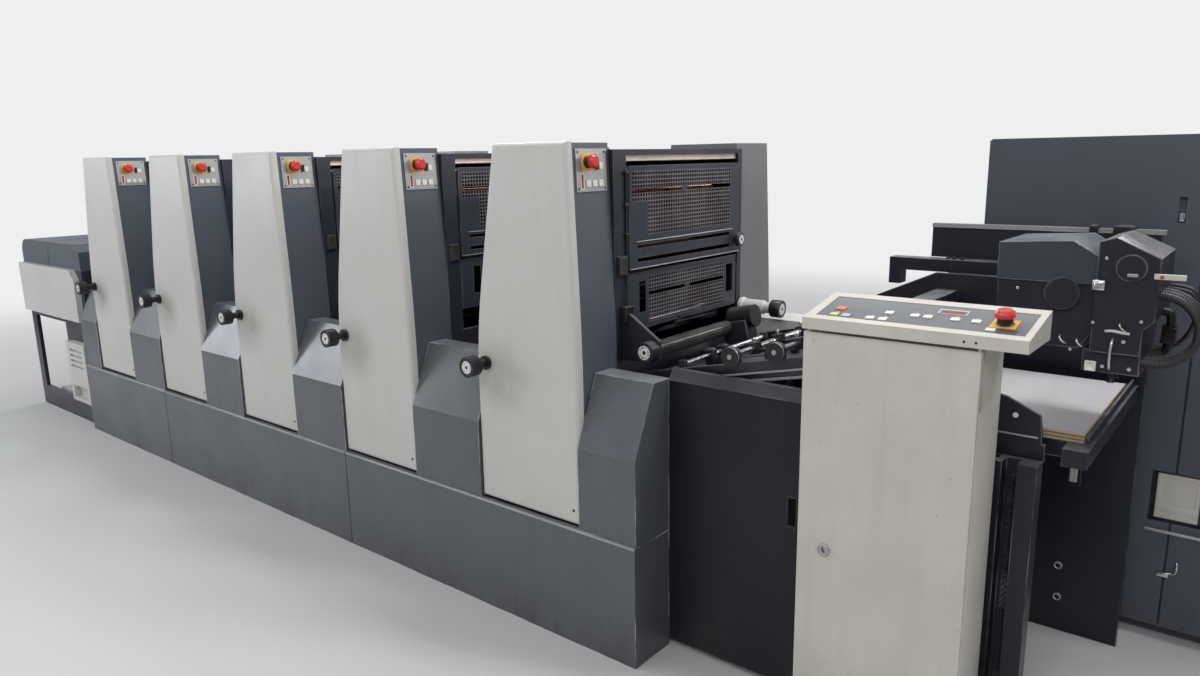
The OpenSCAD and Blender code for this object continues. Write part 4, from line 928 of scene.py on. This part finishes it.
def plate_fittings():
    backing = block("stop_backing", (PLATE_FACE, 24, 58), (PLATE_FACE + 1.2, 72, 106), 0.4)
    place(backing, yellow_paint, ON_PLATE)
    collar = turned("collar", [(17.5, 0), (17.5, 3), (15, 5), (15, 17.4), (14.2, 17.9)], 32)
    moved(collar, shift(PLATE_FACE, 48, 82) @ FACING_FEEDER)
    selector = block("selector", (PLATE_FACE, 84, 60), (PLATE_FACE + 6, 95, 86), 1.5, 3)
    press_in(selector, TO_FEEDER, (2, -1.5))
    screws = [screw("screw", y, z) for y in (9, 123) for z in (9, 109)]
    fittings = join([collar, selector] + screws, "stop_fittings")
    place(fittings, black_plastic, ON_PLATE)
    indicator = block("stop_indicator", (PLATE_FACE, 16, 6), (PLATE_FACE + 1.4, 31, 50), 0.4)
    indicator.data.materials.append(white_plastic)
    indicator.data.materials.append(indicator_red)
    press_in(indicator, TO_FEEDER, (2.6, -0.4))
    paint_picked(indicator, 1)
    place(indicator, white_plastic, ON_PLATE)
    return [backing, fittings, indicator]

to_other_units(*plate_fittings())
print("stop plates fitted out on the five units")

# %% [markdown]
# ## Console desk
# The sunk field of the desk is a dark printed membrane. Its buttons are pale caps, three of them tinted; a white
# frame marks the counter's window, and the stop button stands on a yellow square. Small pale marks over the caps
# hint at their signs, as bars and arrows only.

# %% Membrane and counter window
DESK_FLOOR = -2.0
membrane = block("desk_membrane", (22.3, 22.3, DESK_FLOOR), (454.7, 147.7, DESK_FLOOR + 0.7), 0.2, 1)
press_in(membrane, UP, (2.5, 0), (0.8, -0.25))
place(membrane, membrane_paint, ON_DESK)

window = block("desk_window", (262, 103, DESK_FLOOR + 0.6), (322, 129, DESK_FLOOR + 1.8), 0.3)
window.data.materials.append(mark_white)
window.data.materials.append(membrane_paint)
window.data.materials.append(indicator_red)
press_in(window, UP, (2, -0.6))
paint_picked(window, 1)
bpy.ops.object.mode_set(mode="EDIT")
bpy.ops.mesh.inset(thickness=5 * MM, depth=0)
paint_picked(window, 2)
place(window, mark_white, ON_DESK)

# %% Tinted caps, marks and stop button
def desk_cap(name, x, y, colour, width=18.8, depth=14.8, top=1.7):
    cap = block(name, (x - width / 2, y - depth / 2, DESK_FLOOR + 0.4), (x + width / 2, y + depth / 2, top), 1, 3)
    press_in(cap, UP, (1.6, -0.25))
    return place(cap, finish(name, colour, 0.34, smudge=0.25, speck=0.3), ON_DESK, "root", "white_plastic")

desk_cap("cap_green", 60, 36, (196, 202, 120))
desk_cap("cap_grey", 87, 36, (176, 184, 194))
desk_cap("cap_orange", 60, 75, (222, 122, 92), 22, 19)
pale_cap = desk_cap("cap_pale", 141, 36, (214, 212, 200))
for i, (x, y) in enumerate(((169, 36), (387, 39), (169, 76), (225, 74), (252, 74), (308, 75), (350, 75))):
    slide = ON_DESK @ Matrix.Translation(((x - 141) * MM, (y - 36) * MM, 0)) @ ON_DESK.inverted()
    twin(pale_cap, f"cap_pale_{i + 2}", slide)

signs = []
for x, y in ((60, 36), (141, 36), (169, 36), (169, 76), (225, 74), (252, 74), (308, 75), (350, 75)):
    bar = block("sign", (x - 5, y + 14, DESK_FLOOR + 0.5), (x + 5, y + 15.4, DESK_FLOOR + 0.95), 0.1, 1)
    arrow = start("circle", "sign", vertices=3, radius=2.6 * MM, fill_type="NGON",
                  location=(x * MM, (y + 19) * MM, (DESK_FLOOR + 0.6) * MM))
    bpy.ops.object.mode_set(mode="EDIT")
    bpy.ops.mesh.extrude_region_move(TRANSFORM_OT_translate={"value": (0, 0, 0.35 * MM)})
    bpy.ops.mesh.select_all(action="SELECT")
    bpy.ops.mesh.normals_make_consistent(inside=False)
    bpy.ops.object.mode_set(mode="OBJECT")
    bpy.ops.object.transform_apply(location=True, rotation=True, scale=True)
    signs += [bar, arrow]
place(join(signs, "desk_signs"), mark_white, ON_DESK)

desk_square = block("desk_stop_square", (379, 53, DESK_FLOOR + 0.5), (429, 103, DESK_FLOOR + 2.2), 0.4)
place(desk_square, yellow_paint, ON_DESK, "root", "console_paint")
desk_collar = turned("desk_stop_collar", [(18, 0), (18, 2.5), (15.2, 4), (15.2, 17.6), (14.4, 18)], 32)
place(desk_collar, black_plastic, ON_DESK @ shift(404, 78, -1.7))
# A thin black patch lies on the membrane below and to the side of the stop button's square.
desk_patch = block("desk_patch", (399, 26, DESK_FLOOR + 0.5), (436, 50, DESK_FLOOR + 0.9), 0.1, 1)
place(desk_patch, black_plastic, ON_DESK)

OUT_OF_LIP = Matrix.Rotation(radians(-90), 4, "Z") @ shift(-PLATE_FACE, 0, 0)
lip_screws = [moved(screw("lip_screw", 0, 0, 2.6), at(x, -10, 1061) @ OUT_OF_LIP) for x in (834, 857)]
place(join(lip_screws, "desk_lip_screws"), black_plastic)

# %% [markdown]
# The door's lock is a quarter-turn camlock: a bright ring with a sunk slot. It is turned like the dials, and the
# slot is a small black bar joined into its sunk middle.

# %% Console lock
lock = turned("console_lock", [(15, 0), (15, 4.4), (14, 5.2), (10.6, 5.2), (10.2, 4.2), (9.6, 4.2)], 36)
# The black bar in the middle of the lock paints the shade inside the key slot.
key_way = block("key_way", (-2.2, -6.5, 3.8), (2.2, 6.5, 4.8), 0.3, 1)
lock.data.materials.append(plate_steel)
key_way.data.materials.append(black_plastic)
place(join([lock, key_way], "console_lock"), plate_steel,
      at(552, 0, 530) @ FACING_OPERATOR @ Matrix.Rotation(radians(25), 4, "Z"), "console_door")
print("desk and console fitted out")

# %% [markdown]
# ## Feed table
# The table's cross shafts are bright between the black clamps of the wheel arms, and each clamp has a knurled
# screw on top. The sleeves are turned bars with a small chamfer, drawn in the table's own slope.

# %% Shafts, screws and guide rods
SHAFT_XS = (379, 515, 650)
ARM_YS = (330, 470, 620, 790)
SHAFT_LIFT = 46
ALONG_Y = Matrix.Rotation(radians(-90), 4, "X")

def bar_along_y(name, x, lift, radius, y0, y1, sides=24, tip=0.8):
    bar = turned(name, [(radius - tip, 0), (radius, tip), (radius, y1 - y0 - tip), (radius - tip, y1 - y0)], sides)
    bar.data.transform(shift(x, y0, lift) @ ALONG_Y)
    return bar

sleeves = []
for x in SHAFT_XS:
    starts = (228,) + tuple(y + 31 for y in ARM_YS)
    ends = tuple(y - 1 for y in ARM_YS) + (936,)
    sleeves += [bar_along_y("sleeve", x, SHAFT_LIFT, 9.5, y0, y1) for y0, y1 in zip(starts, ends)]
place(join(sleeves, "feed_shaft_sleeves"), bright_steel, ON_TABLE)

screws = []
for x in SHAFT_XS:
    for y in ARM_YS:
        knurl = turned("knurl", [(3, 0), (3, 5), (6.5, 5.5), (6.5, 12), (5.5, 13)], 14)
        pick(knurl, lambda middle, normal: abs(normal.z) < 0.1 and middle.xy.length > 0.006)
        bpy.ops.mesh.inset(thickness=0.35 * MM, depth=0.25 * MM, use_individual=True)
        bpy.ops.object.mode_set(mode="OBJECT")
        screws.append(moved(knurl, shift(x, y + 15, 62)))
place(join(screws, "feed_clamp_screws"), bright_steel, ON_TABLE)

rods = []
for y in (296, 560, 716):
    rod = moved(turned("rod", [(3.4, 0), (4, 0.6), (4, 520), (3.4, 520.6)], 16), shift(230, y, 9) @ FACING_FEEDER)
    feet = [block("foot", (x, y - 5, 0), (x + 12, y + 5, 10), 1) for x in (236, 480, 732)]
    rods += [rod] + feet
place(join(rods, "table_guide_rods"), bright_steel, ON_TABLE)

rims = [bar_along_y("rim", x, SHAFT_LIFT, 26.6, 206.5, 210, 40, 0.5) for x in SHAFT_XS]
hubs = [bar_along_y("hub", x, SHAFT_LIFT, 7, 202, 205, 24, 0.8) for x in SHAFT_XS]
place(join(rims + hubs, "shaft_disc_rims"), plate_steel, ON_TABLE)

# %% [markdown]
# The roll in front of the first unit is cased in a punched tube. It is a cylinder without caps, bisected into
# rings, and the cells of its upper side are inset and opened, as on the guards.

# %% Punched casing of the roll
ROLL_START, ROLL_END, ROLL_R = 256, 652, 24.2
casing = start("cylinder", "roll_casing", vertices=16, radius=ROLL_R * MM, depth=(ROLL_END - ROLL_START) * MM,
               end_fill_type="NOTHING")
casing.data.transform(Matrix.Translation((0, (ROLL_START + ROLL_END) / 2 * MM, 0)) @ ALONG_Y)
bpy.ops.object.mode_set(mode="EDIT")
for y in range(ROLL_START + 11, ROLL_END - 6, 11):
    bpy.ops.mesh.select_all(action="SELECT")
    bpy.ops.mesh.bisect(plane_co=(0, y * MM, 0), plane_no=(0, 1, 0))
pick(casing, lambda middle, normal: ROLL_START + 12 < middle.y / MM < ROLL_END - 12 and normal.z > -0.5)
bpy.ops.mesh.inset(thickness=1.9 * MM, depth=0, use_individual=True)
bpy.ops.mesh.delete(type="FACE")
shape_with(casing, "SOLIDIFY", thickness=1 * MM, offset=-1)
casing.data.transform(shift(ROLL_ALONG, 0, ROLL_LIFT))
place(casing, worn_dark, ON_TABLE)
print("roll casing has", len(casing.data.polygons), "faces")

# %% [markdown]
# ## Trim of the first unit
# Round the guards sit a brushed header strip, the cover of the latch, and the cable of the guard's switch, which
# is clipped to the frame and ends in a plug. The cable is a curve with a round bevel that is made a mesh.

# %% Header strips, latch cover and switch cable
# The header strip's pale colour is partly a painted highlight.
header = block("unit_1_header_strip", (-226, 263, 1421.5), (-224, 897, 1440.5), 0.6)
press_in(header, TO_FEEDER, (2, -0.4))
place(header, warm_steel, PRESS)
latch = block("unit_1_latch_cover", (-208.2, 213, 1092), (-203, 249, 1146), 1.4, 3)
press_in(latch, TO_FEEDER, (4, -0.8))
place(latch, worn_dark, PRESS, "root", "plate_steel")
to_other_units(header, latch)

def bent_bar(name, points, radius, sides=4):
    """Round bar or cable along points given in press sizes: a poly curve with a round bevel, made a mesh."""
    line = bpy.data.curves.new(name, "CURVE")
    line.dimensions = "3D"
    line.bevel_depth = radius * MM
    line.bevel_resolution = sides
    line.use_fill_caps = True
    spline = line.splines.new("NURBS")
    spline.points.add(len(points) - 1)
    for knot, point in zip(spline.points, points):
        knot.co = (*press(*point), 1)
    spline.use_endpoint_u = True
    spline.order_u = 3
    bar = bpy.data.objects.new(name, line)
    bpy.context.scene.collection.objects.link(bar)
    deselect()
    bar.select_set(True)
    bpy.context.view_layer.objects.active = bar
    bpy.ops.object.convert(target="MESH")
    bar.data.name = name
    return bar

# The cable's upper run lies in the gap between the frame and the guard, so its black also paints the shade of that
# gap.
cable = bent_bar("switch_cable", [(-211.6, 256, 1396), (-211.6, 255, 1300), (-211.6, 256, 1180),
                                  (-211.6, 255, 1090), (-207, 252, 1040), (-205, 247, 1000), (-205, 246, 970)],
                 3.6)
place(cable, hose_rubber)
plug = block("switch_plug", (-215, 224, 950), (-193, 266, 998), 3, 3)
press_in(plug, TO_FEEDER, (5, -2))
place(plug, black_plastic, PRESS)
clips = [block("clip", (-215.2, 246, z), (-206.5, 260, z + 9), 1) for z in (1205, 1290, 1385)]
place(join(clips, "cable_clips"), black_plastic, PRESS)

# %% [markdown]
# ## Covers, base and side panels
# Screws hold the foot of each front cover, a rubbed strip runs along the top of the base, and the black panel
# beside the feed table has a sunk pull. The strip is one long bar per base panel with its upper edge rounded.

# %% Cover screws, base strips and panel pull
def face_screw(name, x, y, z, radius=4.5):
    """Screw head on a face that looks to the operator."""
    head = turned(name, [(radius, -0.5), (radius, 0.8), (radius * 0.82, 1.6), (radius * 0.4, 1.7)], 18)
    pick(head, lambda middle, normal: normal.z > 0.9 and middle.xy.length < 0.001)
    bpy.ops.mesh.inset(thickness=0.3 * MM, depth=-0.8 * MM)
    bpy.ops.object.mode_set(mode="OBJECT")
    head.data.transform(at(x, y, z) @ FACING_OPERATOR)
    return head

foot_screws = [face_screw("foot_screw", unit_x(k) + 388, 12, 420) for k in range(1, 6)]
place(join(foot_screws, "cover_foot_screws"), black_plastic)

strips = [block("strip", (left, -0.9, 361.5), (right, 11.5, 368.6), 1.2, 3)
          for left, right in ((-3781, -2843), (-2837, -1363), (-1357, -2))]
place(join(strips, "base_top_strips"), worn_steel, PRESS, "root", "base_paint")

# Black strips in the joints between the base panels paint the shade in the gaps.
joints = [block("joint", (x - 2.6, -0.7, 2), (x + 2.6, 6, 368), 0.4) for x in (-2840, -1360)]
place(join(joints, "base_panel_joints"), black_plastic, PRESS)

pull = block("side_panel_pull", (372, 163.8, 478), (404, 166.6, 566), 0.8, 3)
press_in(pull, TO_OPERATOR, (4, 0), (1.2, -2.2))
place(pull, black_plastic, PRESS)

# %% [markdown]
# ## Feeder head
# On the black suction head a worn ring marks its round cover, and a few pale fittings stand out: a flat lever
# with a red button, a latch, a bracket at the seam and a white clip on the sucker block.

# %% Head fittings
ring = turned("head_cover_ring", [(36.6, 0), (36.6, 1.6), (35.4, 2.6), (34.4, 2.6), (33.6, 2), (0.6, 2)], 48)
place(ring, feeder_paint, at(933, 342.2, 1120) @ FACING_OPERATOR)
lever = block("head_lever", (1104, 323.5, 1166), (1160, 330.2, 1178), 2, 4)
press_in(lever, TO_OPERATOR, (2.4, -0.6))
place(lever, console_paint, PRESS)
button = turned("head_lever_button", [(3.6, 0), (3.6, 2), (3, 3)], 20)
place(button, red_plastic, at(1118, 324, 1172) @ FACING_OPERATOR)
latch_bar = block("head_latch", (1056, 324.5, 1168), (1076, 326.6, 1175), 1, 3)
place(latch_bar, plate_steel, PRESS)
bracket = block("head_bracket", (994, 318, 1136), (1018, 330.5, 1158), 2, 3)
press_in(bracket, TO_OPERATOR, (5, 4))
place(bracket, bright_steel, PRESS)
clip = block("sucker_clip", (992, 331, 956), (1014, 342.5, 978), 2, 3)
press_in(clip, TO_OPERATOR, (5.5, -4))
place(clip, white_plastic, PRESS)

air_pipe = bent_bar("head_air_pipe", [(1042, 333, 1034), (1042, 322, 1030), (1040, 318, 1010), (1040, 318, 985),
                                  (1040, 326, 966), (1040, 344, 962)], 3)
place(air_pipe, bright_steel)

# %% Bellows between the head and the sucker block
bellows = turned("head_bellows", [(16, 0)] + [(r, 4 + 5 * i + (2.5 if r == 12 else 0))
                                              for i in range(7) for r in (16, 12)] + [(15, 40)], 28)
place(bellows, hose_rubber, at(1128, 468, 1010))
pipe = bent_bar("bellows_pipe", [(1096, 468, 1080), (1122, 468, 1080), (1130, 468, 1070), (1130, 468, 1048)], 9, 6)
place(pipe, black_plastic)
lower_pipe = bent_bar("bellows_foot", [(1128, 468, 1012), (1128, 468, 992), (1120, 468, 982), (1092, 468, 980)],
                      9, 6)
place(lower_pipe, black_plastic)
print("feeder head fitted out")

# %% [markdown]
# ## Cabinet
# The cabinet's right door has a pale folded plate in its recess, a sill under it, and flush pulls in the upright
# slots. Its side towards the press has louvres, each a bar whose lower edge is pulled out, copied down the panel.

# %% Switch plate, pulls and louvres
switch_plate = block("cabinet_switch_plate", (1087, 1079, 376), (1194, 1084.4, 512), 3, 4)
press_in(switch_plate, TO_OPERATOR, (8, 0), (1.2, -0.8))
place(switch_plate, console_paint, PRESS)
fold = block("cabinet_plate_fold", (1091, 1077.6, 398), (1190, 1079.6, 420), 0.8, 3)
place(fold, cover_paint, PRESS, "root", "console_paint")
sill = block("cabinet_sill", (1070, 1063, 336), (1216, 1070.4, 344), 1.4, 3)
place(sill, worn_steel, PRESS)
pulls = []
for x in (1061, 1641):
    grip = block("grip", (x + 2, 1073, 1233), (x + 16, 1084.4, 1256), 2, 3)
    press_in(grip, TO_OPERATOR, (3, -2))
    pulls.append(grip)
place(join(pulls, "cabinet_pulls"), plate_steel, PRESS)
clasp = bent_bar("cabinet_clasp", [(1158, 1067, 254), (1160, 1062, 250), (1160, 1062, 226), (1154, 1062, 218),
                                   (1124, 1062, 214), (1118, 1066, 212)], 3.2)
clasp_plate = block("clasp_plate", (1112, 1064.4, 202), (1142, 1069, 213), 1, 3)
clasp_plate.data.transform(PRESS)
place(join([clasp, clasp_plate], "cabinet_clasp"), bright_steel)
lining = block("cabinet_recess_lining", (1074, 1083.4, 365), (1212, 1084.6, 519), 0.4)
place(lining, black_plastic, PRESS)

def louvre(length):
    """One louvre that faces +Z of its own drawing: a bar with its lower edge pulled out and its ends bevelled."""
    slat = block("louvre", (0, 0, -1), (length, 16, 0.6), 0.5)
    pick(slat, lambda a, b: max(a.y, b.y) < 0.002 and min(a.z, b.z) > 0, "EDGE")
    bpy.ops.transform.translate(value=(0, 0, 5 * MM))
    bpy.ops.object.mode_set(mode="OBJECT")
    return slat

LOUVRE_PITCH = 24

def louvre_set(name, where, length, count, paint):
    slats = [moved(louvre(length), shift(0, i * LOUVRE_PITCH, 0)) for i in range(count)]
    return place(join(slats, name), paint, where)

FACING_BACK = Matrix.Rotation(radians(180), 4, "Z") @ FACING_OPERATOR
FACING_PRESS = Matrix.Rotation(radians(-90), 4, "Z") @ FACING_OPERATOR
for name, z in (("upper", 1120), ("lower", 200)):
    louvre_set(f"cabinet_{name}_louvres", at(561, 1400, z) @ FACING_PRESS, 220, 7, cabinet_paint)

# %% [markdown]
# ## Drive side
# Nothing of the drive side shows in the photograph, so it is finished plainly as such presses are: each housing
# has a door with louvres and two turn locks, and the bed has flat covers over its gear openings.

# %% Doors of the drive housings and covers of the bed
def raised_panel(name, corner, width, height, inset=10, rise=4):
    """Flat door with a pressed border, drawn facing +Z of its own drawing."""
    panel = block(name, (0, 0, -1), (width, height, rise), 1.2, 3)
    press_in(panel, UP, (inset, 0), (2, -1.2))
    panel.data.transform(corner)
    return panel

drive_door = raised_panel("unit_1_drive_door", Matrix.Identity(4), 290, 640)
place(drive_door, drive_paint, at(UNIT_1 + 362, 1137, 470) @ FACING_BACK)
door_louvres = louvre_set("unit_1_drive_louvres", at(UNIT_1 + 327, 1140.6, 500) @ FACING_BACK, 220, 6, drive_paint)
LOCK_STEPS = [(12, -0.5), (12, 2.5), (10.5, 3.6), (7, 3.6), (6, 2.6)]
door_locks = [moved(turned("lock", LOCK_STEPS, 28), at(UNIT_1 + 92, 1140.4, z) @ FACING_BACK) for z in (560, 1020)]
locks = place(join(door_locks, "unit_1_drive_locks"), bright_steel)
to_other_units(drive_door, door_louvres, locks)
bed_covers = [raised_panel("bed_cover", at(x, 1125, 90) @ FACING_BACK, 560, 220, 14, 5)
              for x in (-260, -1000, -1740, -2480, -3160)]
place(join(bed_covers, "bed_drive_covers"), base_paint)

# %% [markdown]
# ## Delivery
# The delivery is far from the camera, so it gets little: a grip bar on the nose of the hood, screws on its pale
# side panel and a seam across the hood.

# %% Delivery trim
nose = Vector((-4617, 0, 994))
outward = Vector((-0.7071, 0, 0.7071)) * 20
foot_out, bar_out = nose - outward * 0.2, nose + outward
grip_bar = bent_bar("delivery_grip", [(p.x, y, p.z) for p, y in (
    (foot_out, 300), (nose + outward * 0.7, 300), (bar_out, 312), (bar_out, 813), (nose + outward * 0.7, 825),
    (foot_out, 825))], 5)
place(grip_bar, plate_steel)
panel_screws = [face_screw("panel_screw", x, 10, z, 5) for x in (-4618, -3850) for z in (620, 855)]
place(join(panel_screws, "delivery_panel_screws"), bright_steel)
seam = block("delivery_hood_seam", (-4230, 39, 884), (-4226, 1086, 1021), 0.8)
place(seam, frame_paint, PRESS, "root", "housing_paint")
print("cabinet, drive side and delivery fitted out")

# %% [markdown]
# ## Small parts round the feeder
# A second, thinner shaft runs close to the roll on its own clamps, flat rails edge the table, and the far frame
# has a bright pull. Each starts as a bar or a turned part and is placed in the table's own slope.

# %% Shaft beside the roll
first_shaft = bar_along_y("roll_shaft", 196, 34, 7, 252, 712, 24)
first_clamps = []
for y in (384, 452):
    clamp = block("clamp", (178, y, -1), (214, y + 22, 50), 3, 3)
    press_in(clamp, UP, (6, 5))
    wheel = bar_along_y("wheel", 232, 15, 15.5, y + 4, y + 16, 28)
    arm = block("arm", (206, y + 5, 12), (236, y + 15, 24), 2)
    first_clamps += [clamp, wheel, arm]
place(first_shaft, bright_steel, ON_TABLE)
end_blocks = [block("end_block", (184, y, -1), (208, y + 14, 46), 2, 3) for y in (238, 712)]
place(join(first_clamps + end_blocks, "roll_shaft_clamps"), black_plastic, ON_TABLE)

# %% Rails along the table
rails = [block("rail", (150, 221, -9), (868, 226.4, -3), 1), block("rail", (168, 219, -30), (868, 226.4, -22), 1)]
place(join(rails, "table_side_rails"), worn_steel, ON_TABLE)
tapes = [block("tape", (240, y, -0.2), (860, y + 24, 1.6), 0.5) for y in (252, 316, 400, 500, 600, 700, 790)]
place(join(tapes, "table_tapes"), black_plastic, ON_TABLE)

# %% [markdown]
# The pull of the far frame is a bright curved plate in a dark slot. The top rail carries two black clamps, and
# three bolt heads stand on the end of the arm over the table.

# %% Pull, rail clamps and bolts
frame_pull = block("frame_pull", (884, 938.5, 481), (904, 948, 541), 2, 4)
press_in(frame_pull, TO_OPERATOR, (4, -1))
place(frame_pull, cover_paint, PRESS, "root", "plate_steel")
clamps = []
for x, width in ((872, 22), (930, 52)):
    clamp = block("clamp", (x, 938, 1204), (x + width, 972, 1226), 2, 3)
    press_in(clamp, UP, (5, 3))
    clamps.append(moved(clamp, PRESS))
clamps += [moved(turned("bolt", [(5, -1), (5, 7), (4, 8.5)], 6), at(x, 916, 1113)) for x in (506, 524, 548)]
place(join(clamps, "rail_clamps"), black_plastic)

# %% Bright rims of the two bosses inside the frame
RIM_STEPS = [(7, -0.5), (7, 1), (9.6, 2.4), (11.4, 1.4), (11.8, -4)]
rims = [moved(turned("rim", RIM_STEPS, 32), at(x, 941, z) @ FACING_OPERATOR) for x, z in ((877, 212), (882, 112))]
place(join(rims, "frame_boss_rims"), worn_steel)

# %% [markdown]
# The edge of a pile board shows its plies. Thin strips of two wood tones lie round the board's free edges and
# ride with it when the pile goes up and down.

# %% Plies of the pile board
low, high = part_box("pile_board")
board_x0, board_y0, board_z0 = (low.x - BASE_END) / MM, (low.y - BASE_FRONT) / MM, low.z / MM
board_x1, board_y1, board_z1 = (high.x - BASE_END) / MM, (high.y - BASE_FRONT) / MM, high.z / MM
PLIES = 5
ply = (board_z1 - board_z0 - 1.6) / PLIES
for name, paint, layers in (("pile_board_light_plies", ply_light, (0, 2, 4)),
                            ("pile_board_dark_plies", ply_dark, (1, 3))):
    strips = []
    for i in layers:
        z0 = board_z0 + 0.6 + i * ply
        z1 = z0 + ply - 0.3
        strips.append(block("ply", (board_x0 + 1, board_y0 - 0.9, z0), (board_x1 - 1, board_y0 + 3, z1), 0.3))
        strips.append(block("ply", (board_x1 - 3, board_y0 + 1, z0), (board_x1 + 0.9, board_y1 - 1, z1), 0.3))
    place(join(strips, name), paint, PRESS, "pile_lift", "board_wood")

# %% [markdown]
# ## Console side
# The feeder-side wall of the console is a second sheet that starts below a slanted upper edge. It is a plate whose
# top edge is pulled down on one side, with a chamfer all round.

# %% Side sheet of the console
side_sheet = block("console_side_sheet", (866, 10, 12), (868.6, 160, 955), 1, 3)
press_in(side_sheet, UP, (0.2, 0))
for vertex in side_sheet.data.vertices:
    if vertex.co.z > 0.9 and vertex.co.y < 0.05:
        vertex.co.z -= 0.045
place(side_sheet, console_paint, PRESS)
print("feeder, pile board and console side fitted out")

# %% [markdown]
# ## Fine parts of the head and the pile
# Bright screws, short pipes and cables break up the black of the suction head. The pile's cheek has a pale round
# plug and a bright bar at its foot.

# %% Screws, pipes and cables of the head
head_screws = [face_screw("head_screw", x, y, z, radius)
               for x, y, z, radius in ((826, 329.8, 1010, 4), (1004, 309.8, 1068, 3.5), (1092, 309.8, 1078, 3.5),
                                       (1064, 309.8, 1032, 4), (1018, 309.8, 1206, 3.5), (962, 329.8, 1000, 3.5),
                                       (846, 324.8, 1128, 3.5), (1028, 321.8, 972, 4), (1078, 321.8, 972, 4))]
place(join(head_screws, "head_screws"), bright_steel)
hooks = [bent_bar("hook", [(x, 331, z + 16), (x, 322, z + 15), (x + 2, 319, z + 8), (x + 12, 320, z),
                           (x + 14, 331, z)], 2.2) for x, z in ((940, 1014), (974, 1010), (1052, 1052))]
place(join(hooks, "head_hooks"), bright_steel)
lever_arm = bent_bar("head_small_lever", [(1030, 310, 1052), (1030, 300, 1053), (1044, 298, 1056),
                                          (1064, 300, 1052), (1072, 311, 1050)], 3)
place(lever_arm, cover_paint, None, "root", "plate_steel")
cables = [bent_bar("cable", [(1112, y, z), (1140, y, z), (1168, y, z - 12), (1172, y, z - 70), (1150, y, 1004),
                             (1112, y - 6, 990), (1092, y - 6, 986)], 4)
          for y, z in ((492, 1128), (506, 1116), (520, 1132))]
place(join(cables, "head_cables"), hose_rubber)

# %% Plug and bar of the pile cheek
plug = turned("pile_cheek_plug", [(6, -0.4), (6, 1.6), (5, 2.4), (0.6, 2.6)], 28)
place(plug, white_plastic, at(880, 256, 852) @ FACING_OPERATOR, "pile_lift")
foot_bar = block("pile_cheek_bar", (846, 252.4, 806), (930, 256.5, 810), 0.8, 3)
place(foot_bar, plate_steel, PRESS, "pile_lift")

# %% Levers at the far side of the table
levers = []
for x, y, lean in ((300, 838, 12), (452, 866, -10), (590, 850, 16)):
    stem = turned("stem", [(10, -1), (10, 6), (4, 9), (4, 34), (5, 36)], 20)
    ball = turned("ball", [(3, 33), (8, 36), (10.5, 42), (10.5, 47), (8, 53), (2, 56)], 24)
    lever = join([stem, ball], "lever")
    lever.data.transform(shift(x, y, 0) @ Matrix.Rotation(radians(lean), 4, "Y"))
    levers.append(lever)
place(join(levers, "table_levers"), black_plastic, ON_TABLE)
print("head, cheek and table fitted out")

# %% [markdown]
# ## Size of the dressed press
# The last step measures the box round every shown piece of the dressed press, the floor left out. The dressed
# press must stay inside the measured one.

# %% Box of the dressed press
low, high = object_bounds()
